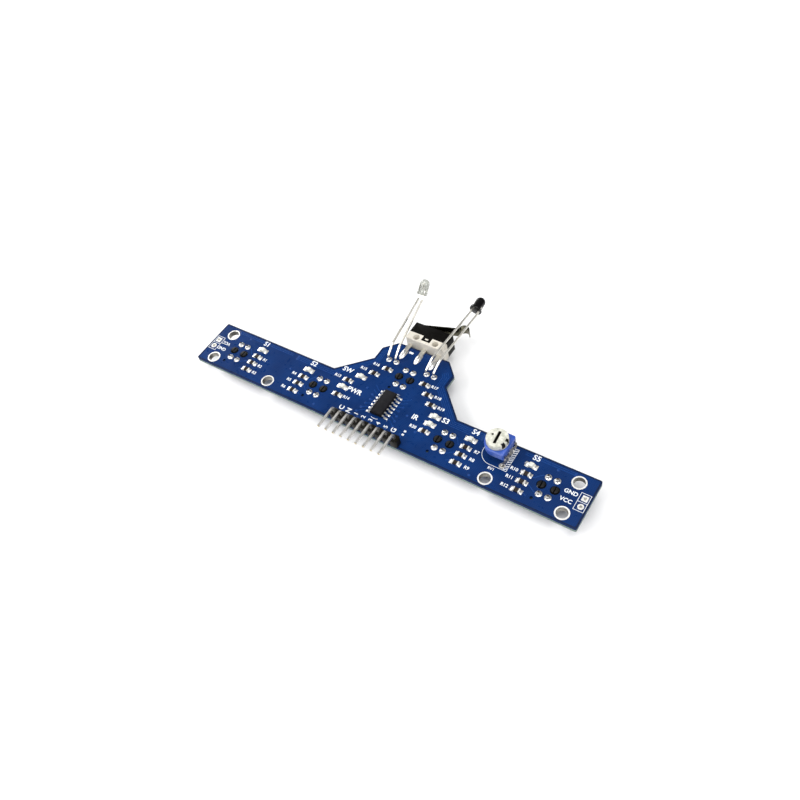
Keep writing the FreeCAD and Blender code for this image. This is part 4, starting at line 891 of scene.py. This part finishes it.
# ------------------------------------------------------------------------------ proximity pair
def head_profile(flange, flange_height, barrel, length):
    """A round lamp's outline: flange with eased rims, barrel, and a half-ball end, which is the
    barrel's radius times the cosine out and times the sine up."""
    tip = length - barrel
    arc = np.linspace(0, math.pi / 2, 15)
    ball = np.column_stack([barrel * np.cos(arc), tip + barrel * np.sin(arc)])
    foot = [(0, 0), (flange - 0.15, 0), (flange - 0.04, 0.04), (flange, 0.15),
            (flange, flange_height - 0.12), (flange - 0.04, flange_height - 0.03),
            (barrel + 0.03, flange_height), (barrel, flange_height + 0.04)]
    return np.vstack([foot, ball])


# Both heads are 3 mm lamps on bent leads, and look forward and up by their own angle.
FLANGE_HEIGHT, BARREL, HEAD_LENGTH = 0.9, 1.5, 4.7
emitter_rise = math.radians(46.0)
EMITTER_WAY = np.array((0, math.cos(emitter_rise), math.sin(emitter_rise)))
EMITTER_BASE = np.array((-6.85, 36.95, 11.6))
emitter = piece("clear_lamp_head",
                [turned(head_profile(1.6, FLANGE_HEIGHT, BARREL, HEAD_LENGTH), EMITTER_BASE,
                        EMITTER_WAY, 48)], CLEAR)
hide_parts("proximity_emitter_lens")

# Inside it: the flared post, the anvil with its cup, the die and the bond wire.
twist = math.radians(38.0)
level = np.array((1.0, 0, 0))
ACROSS = level * math.cos(twist) - np.cross(EMITTER_WAY, level) * math.sin(twist)
AXES = np.array([ACROSS, np.cross(EMITTER_WAY, ACROSS), EMITTER_WAY])
frame_parts = [
    block((-0.15, -0.22, 1.5), (1.25, 0.22, 2.5), EMITTER_BASE, AXES, 0.25),
    block((-1.22, -0.2, 1.5), (-0.62, 0.2, 2.7), EMITTER_BASE, AXES, 0.25),
    turned([(0, 2.5), (0.3, 2.5), (0.62, 2.95), (0.55, 2.95), (0.3, 2.62), (0, 2.62)],
           EMITTER_BASE + ACROSS * 0.2, EMITTER_WAY, 24),
]
piece("clear_lamp_leadframe", frame_parts, LEG)
piece("clear_lamp_die", [block((0.05, -0.15, 2.62), (0.35, 0.15, 2.78), EMITTER_BASE, AXES)],
      DIE)
share = np.linspace(0, 1, 11)[:, None]
hop = ((0.2 - 1.1 * share) * ACROSS
       + (2.78 - 0.1 * share + 0.5 * np.sin(math.pi * share)) * EMITTER_WAY)
piece("clear_lamp_bond_wire", [tube(EMITTER_BASE + hop, 0.03)], GOLD)

receiver_rise = math.radians(9.0)
RECEIVER_WAY = np.array((0, math.cos(receiver_rise), math.sin(receiver_rise)))
RECEIVER_BASE = np.array((8.1, 41.75, 6.7))
points, faces = turned(head_profile(1.95, FLANGE_HEIGHT, BARREL, HEAD_LENGTH), RECEIVER_BASE,
                       RECEIVER_WAY, 48)
# The flange, which is the first 8 rings, has one side cut flat.
FLANGE_RINGS, FLAT_AT = 8, 1.6
points[:FLANGE_RINGS, :, 0] = np.minimum(points[:FLANGE_RINGS, :, 0], RECEIVER_BASE[0] + FLAT_AT)
receiver = piece("dark_receiver_head", [(points, faces)], DARK_EPOXY)
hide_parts("proximity_receiver_body")


# ------------------------------------------------------------------------------ CAD pieces, eased
def eased(node, material, width, body="board"):
    """A copy of a CAD node, merged, its flat faces rejoined, and its edges eased by a bevel."""
    mesh = NODES[node].data.copy()
    work = bmesh.new()
    work.from_mesh(mesh)
    bmesh.ops.remove_doubles(work, verts=work.verts, dist=2e-7)
    bmesh.ops.dissolve_limit(work, angle_limit=math.radians(0.6), verts=work.verts,
                             edges=work.edges)
    work.to_mesh(mesh)
    work.free()
    mesh.polygons.foreach_set("use_smooth", np.full(len(mesh.polygons), True))
    mesh.materials.clear()
    mesh.materials.append(material)
    made = bpy.data.objects.new("eased_" + node, mesh)
    bpy.context.scene.collection.objects.link(made)
    bevel = made.modifiers.new("eased_edges", "BEVEL")
    bevel.width = width * MM
    bevel.segments = 2
    bevel.limit_method = "ANGLE"
    bevel.angle_limit = math.radians(28)
    bevel.use_clamp_overlap = True
    bevel.harden_normals = True
    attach(made, body)
    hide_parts(node)


eased("switch_base", IVORY, 0.07)
eased("switch_cover", COVER, 0.07)
eased("header_insulator", NYLON, 0.06)
eased("comparator_body", COMPOUND, 0.05)
eased("trimmer_base", TRIMMER, 0.08)
eased("trimmer_rotor", ROTOR, 0.06, "rotor")
eased("switch_lever", STRIP, 0.03, "lever")
for n in range(1, 6):
    eased(f"sensor_{n}_housing", HOUSING, 0.06)

# What each CAD node that shows is finished in. A sensor's pieces and the lamps share theirs.
COATS = {
    "pcb_board": MASK, "screw_hole_rings": EYELET_TIN, "header_pins": PINS,
    "comparator_leads": CHIP_LEG, "resistor_bodies": GLAZE, "resistor_end_caps": TIN,
    "lamp_bases": LAMP_BASE, "trimmer_legs": LEG, "trimmer_track": CERAMIC,
    "trimmer_wiper": SPRING, "proximity_emitter_leads": WIRE, "proximity_receiver_leads": WIRE,
    "switch_terminals": WIRE, "switch_snap_blade": SPRING, "switch_plunger": COVER,
}
COATS |= {name: LAMP_LENS for name in NODES if name.startswith("lamp_") and name != "lamp_bases"}
for n in range(1, 6):
    COATS |= {f"sensor_{n}_leads": LEADS, f"sensor_{n}_emitter": TINTED,
              f"sensor_{n}_detector": DARK_EPOXY}
for name, coat in COATS.items():
    for held in NODES[name].material_slots:
        held.material = coat
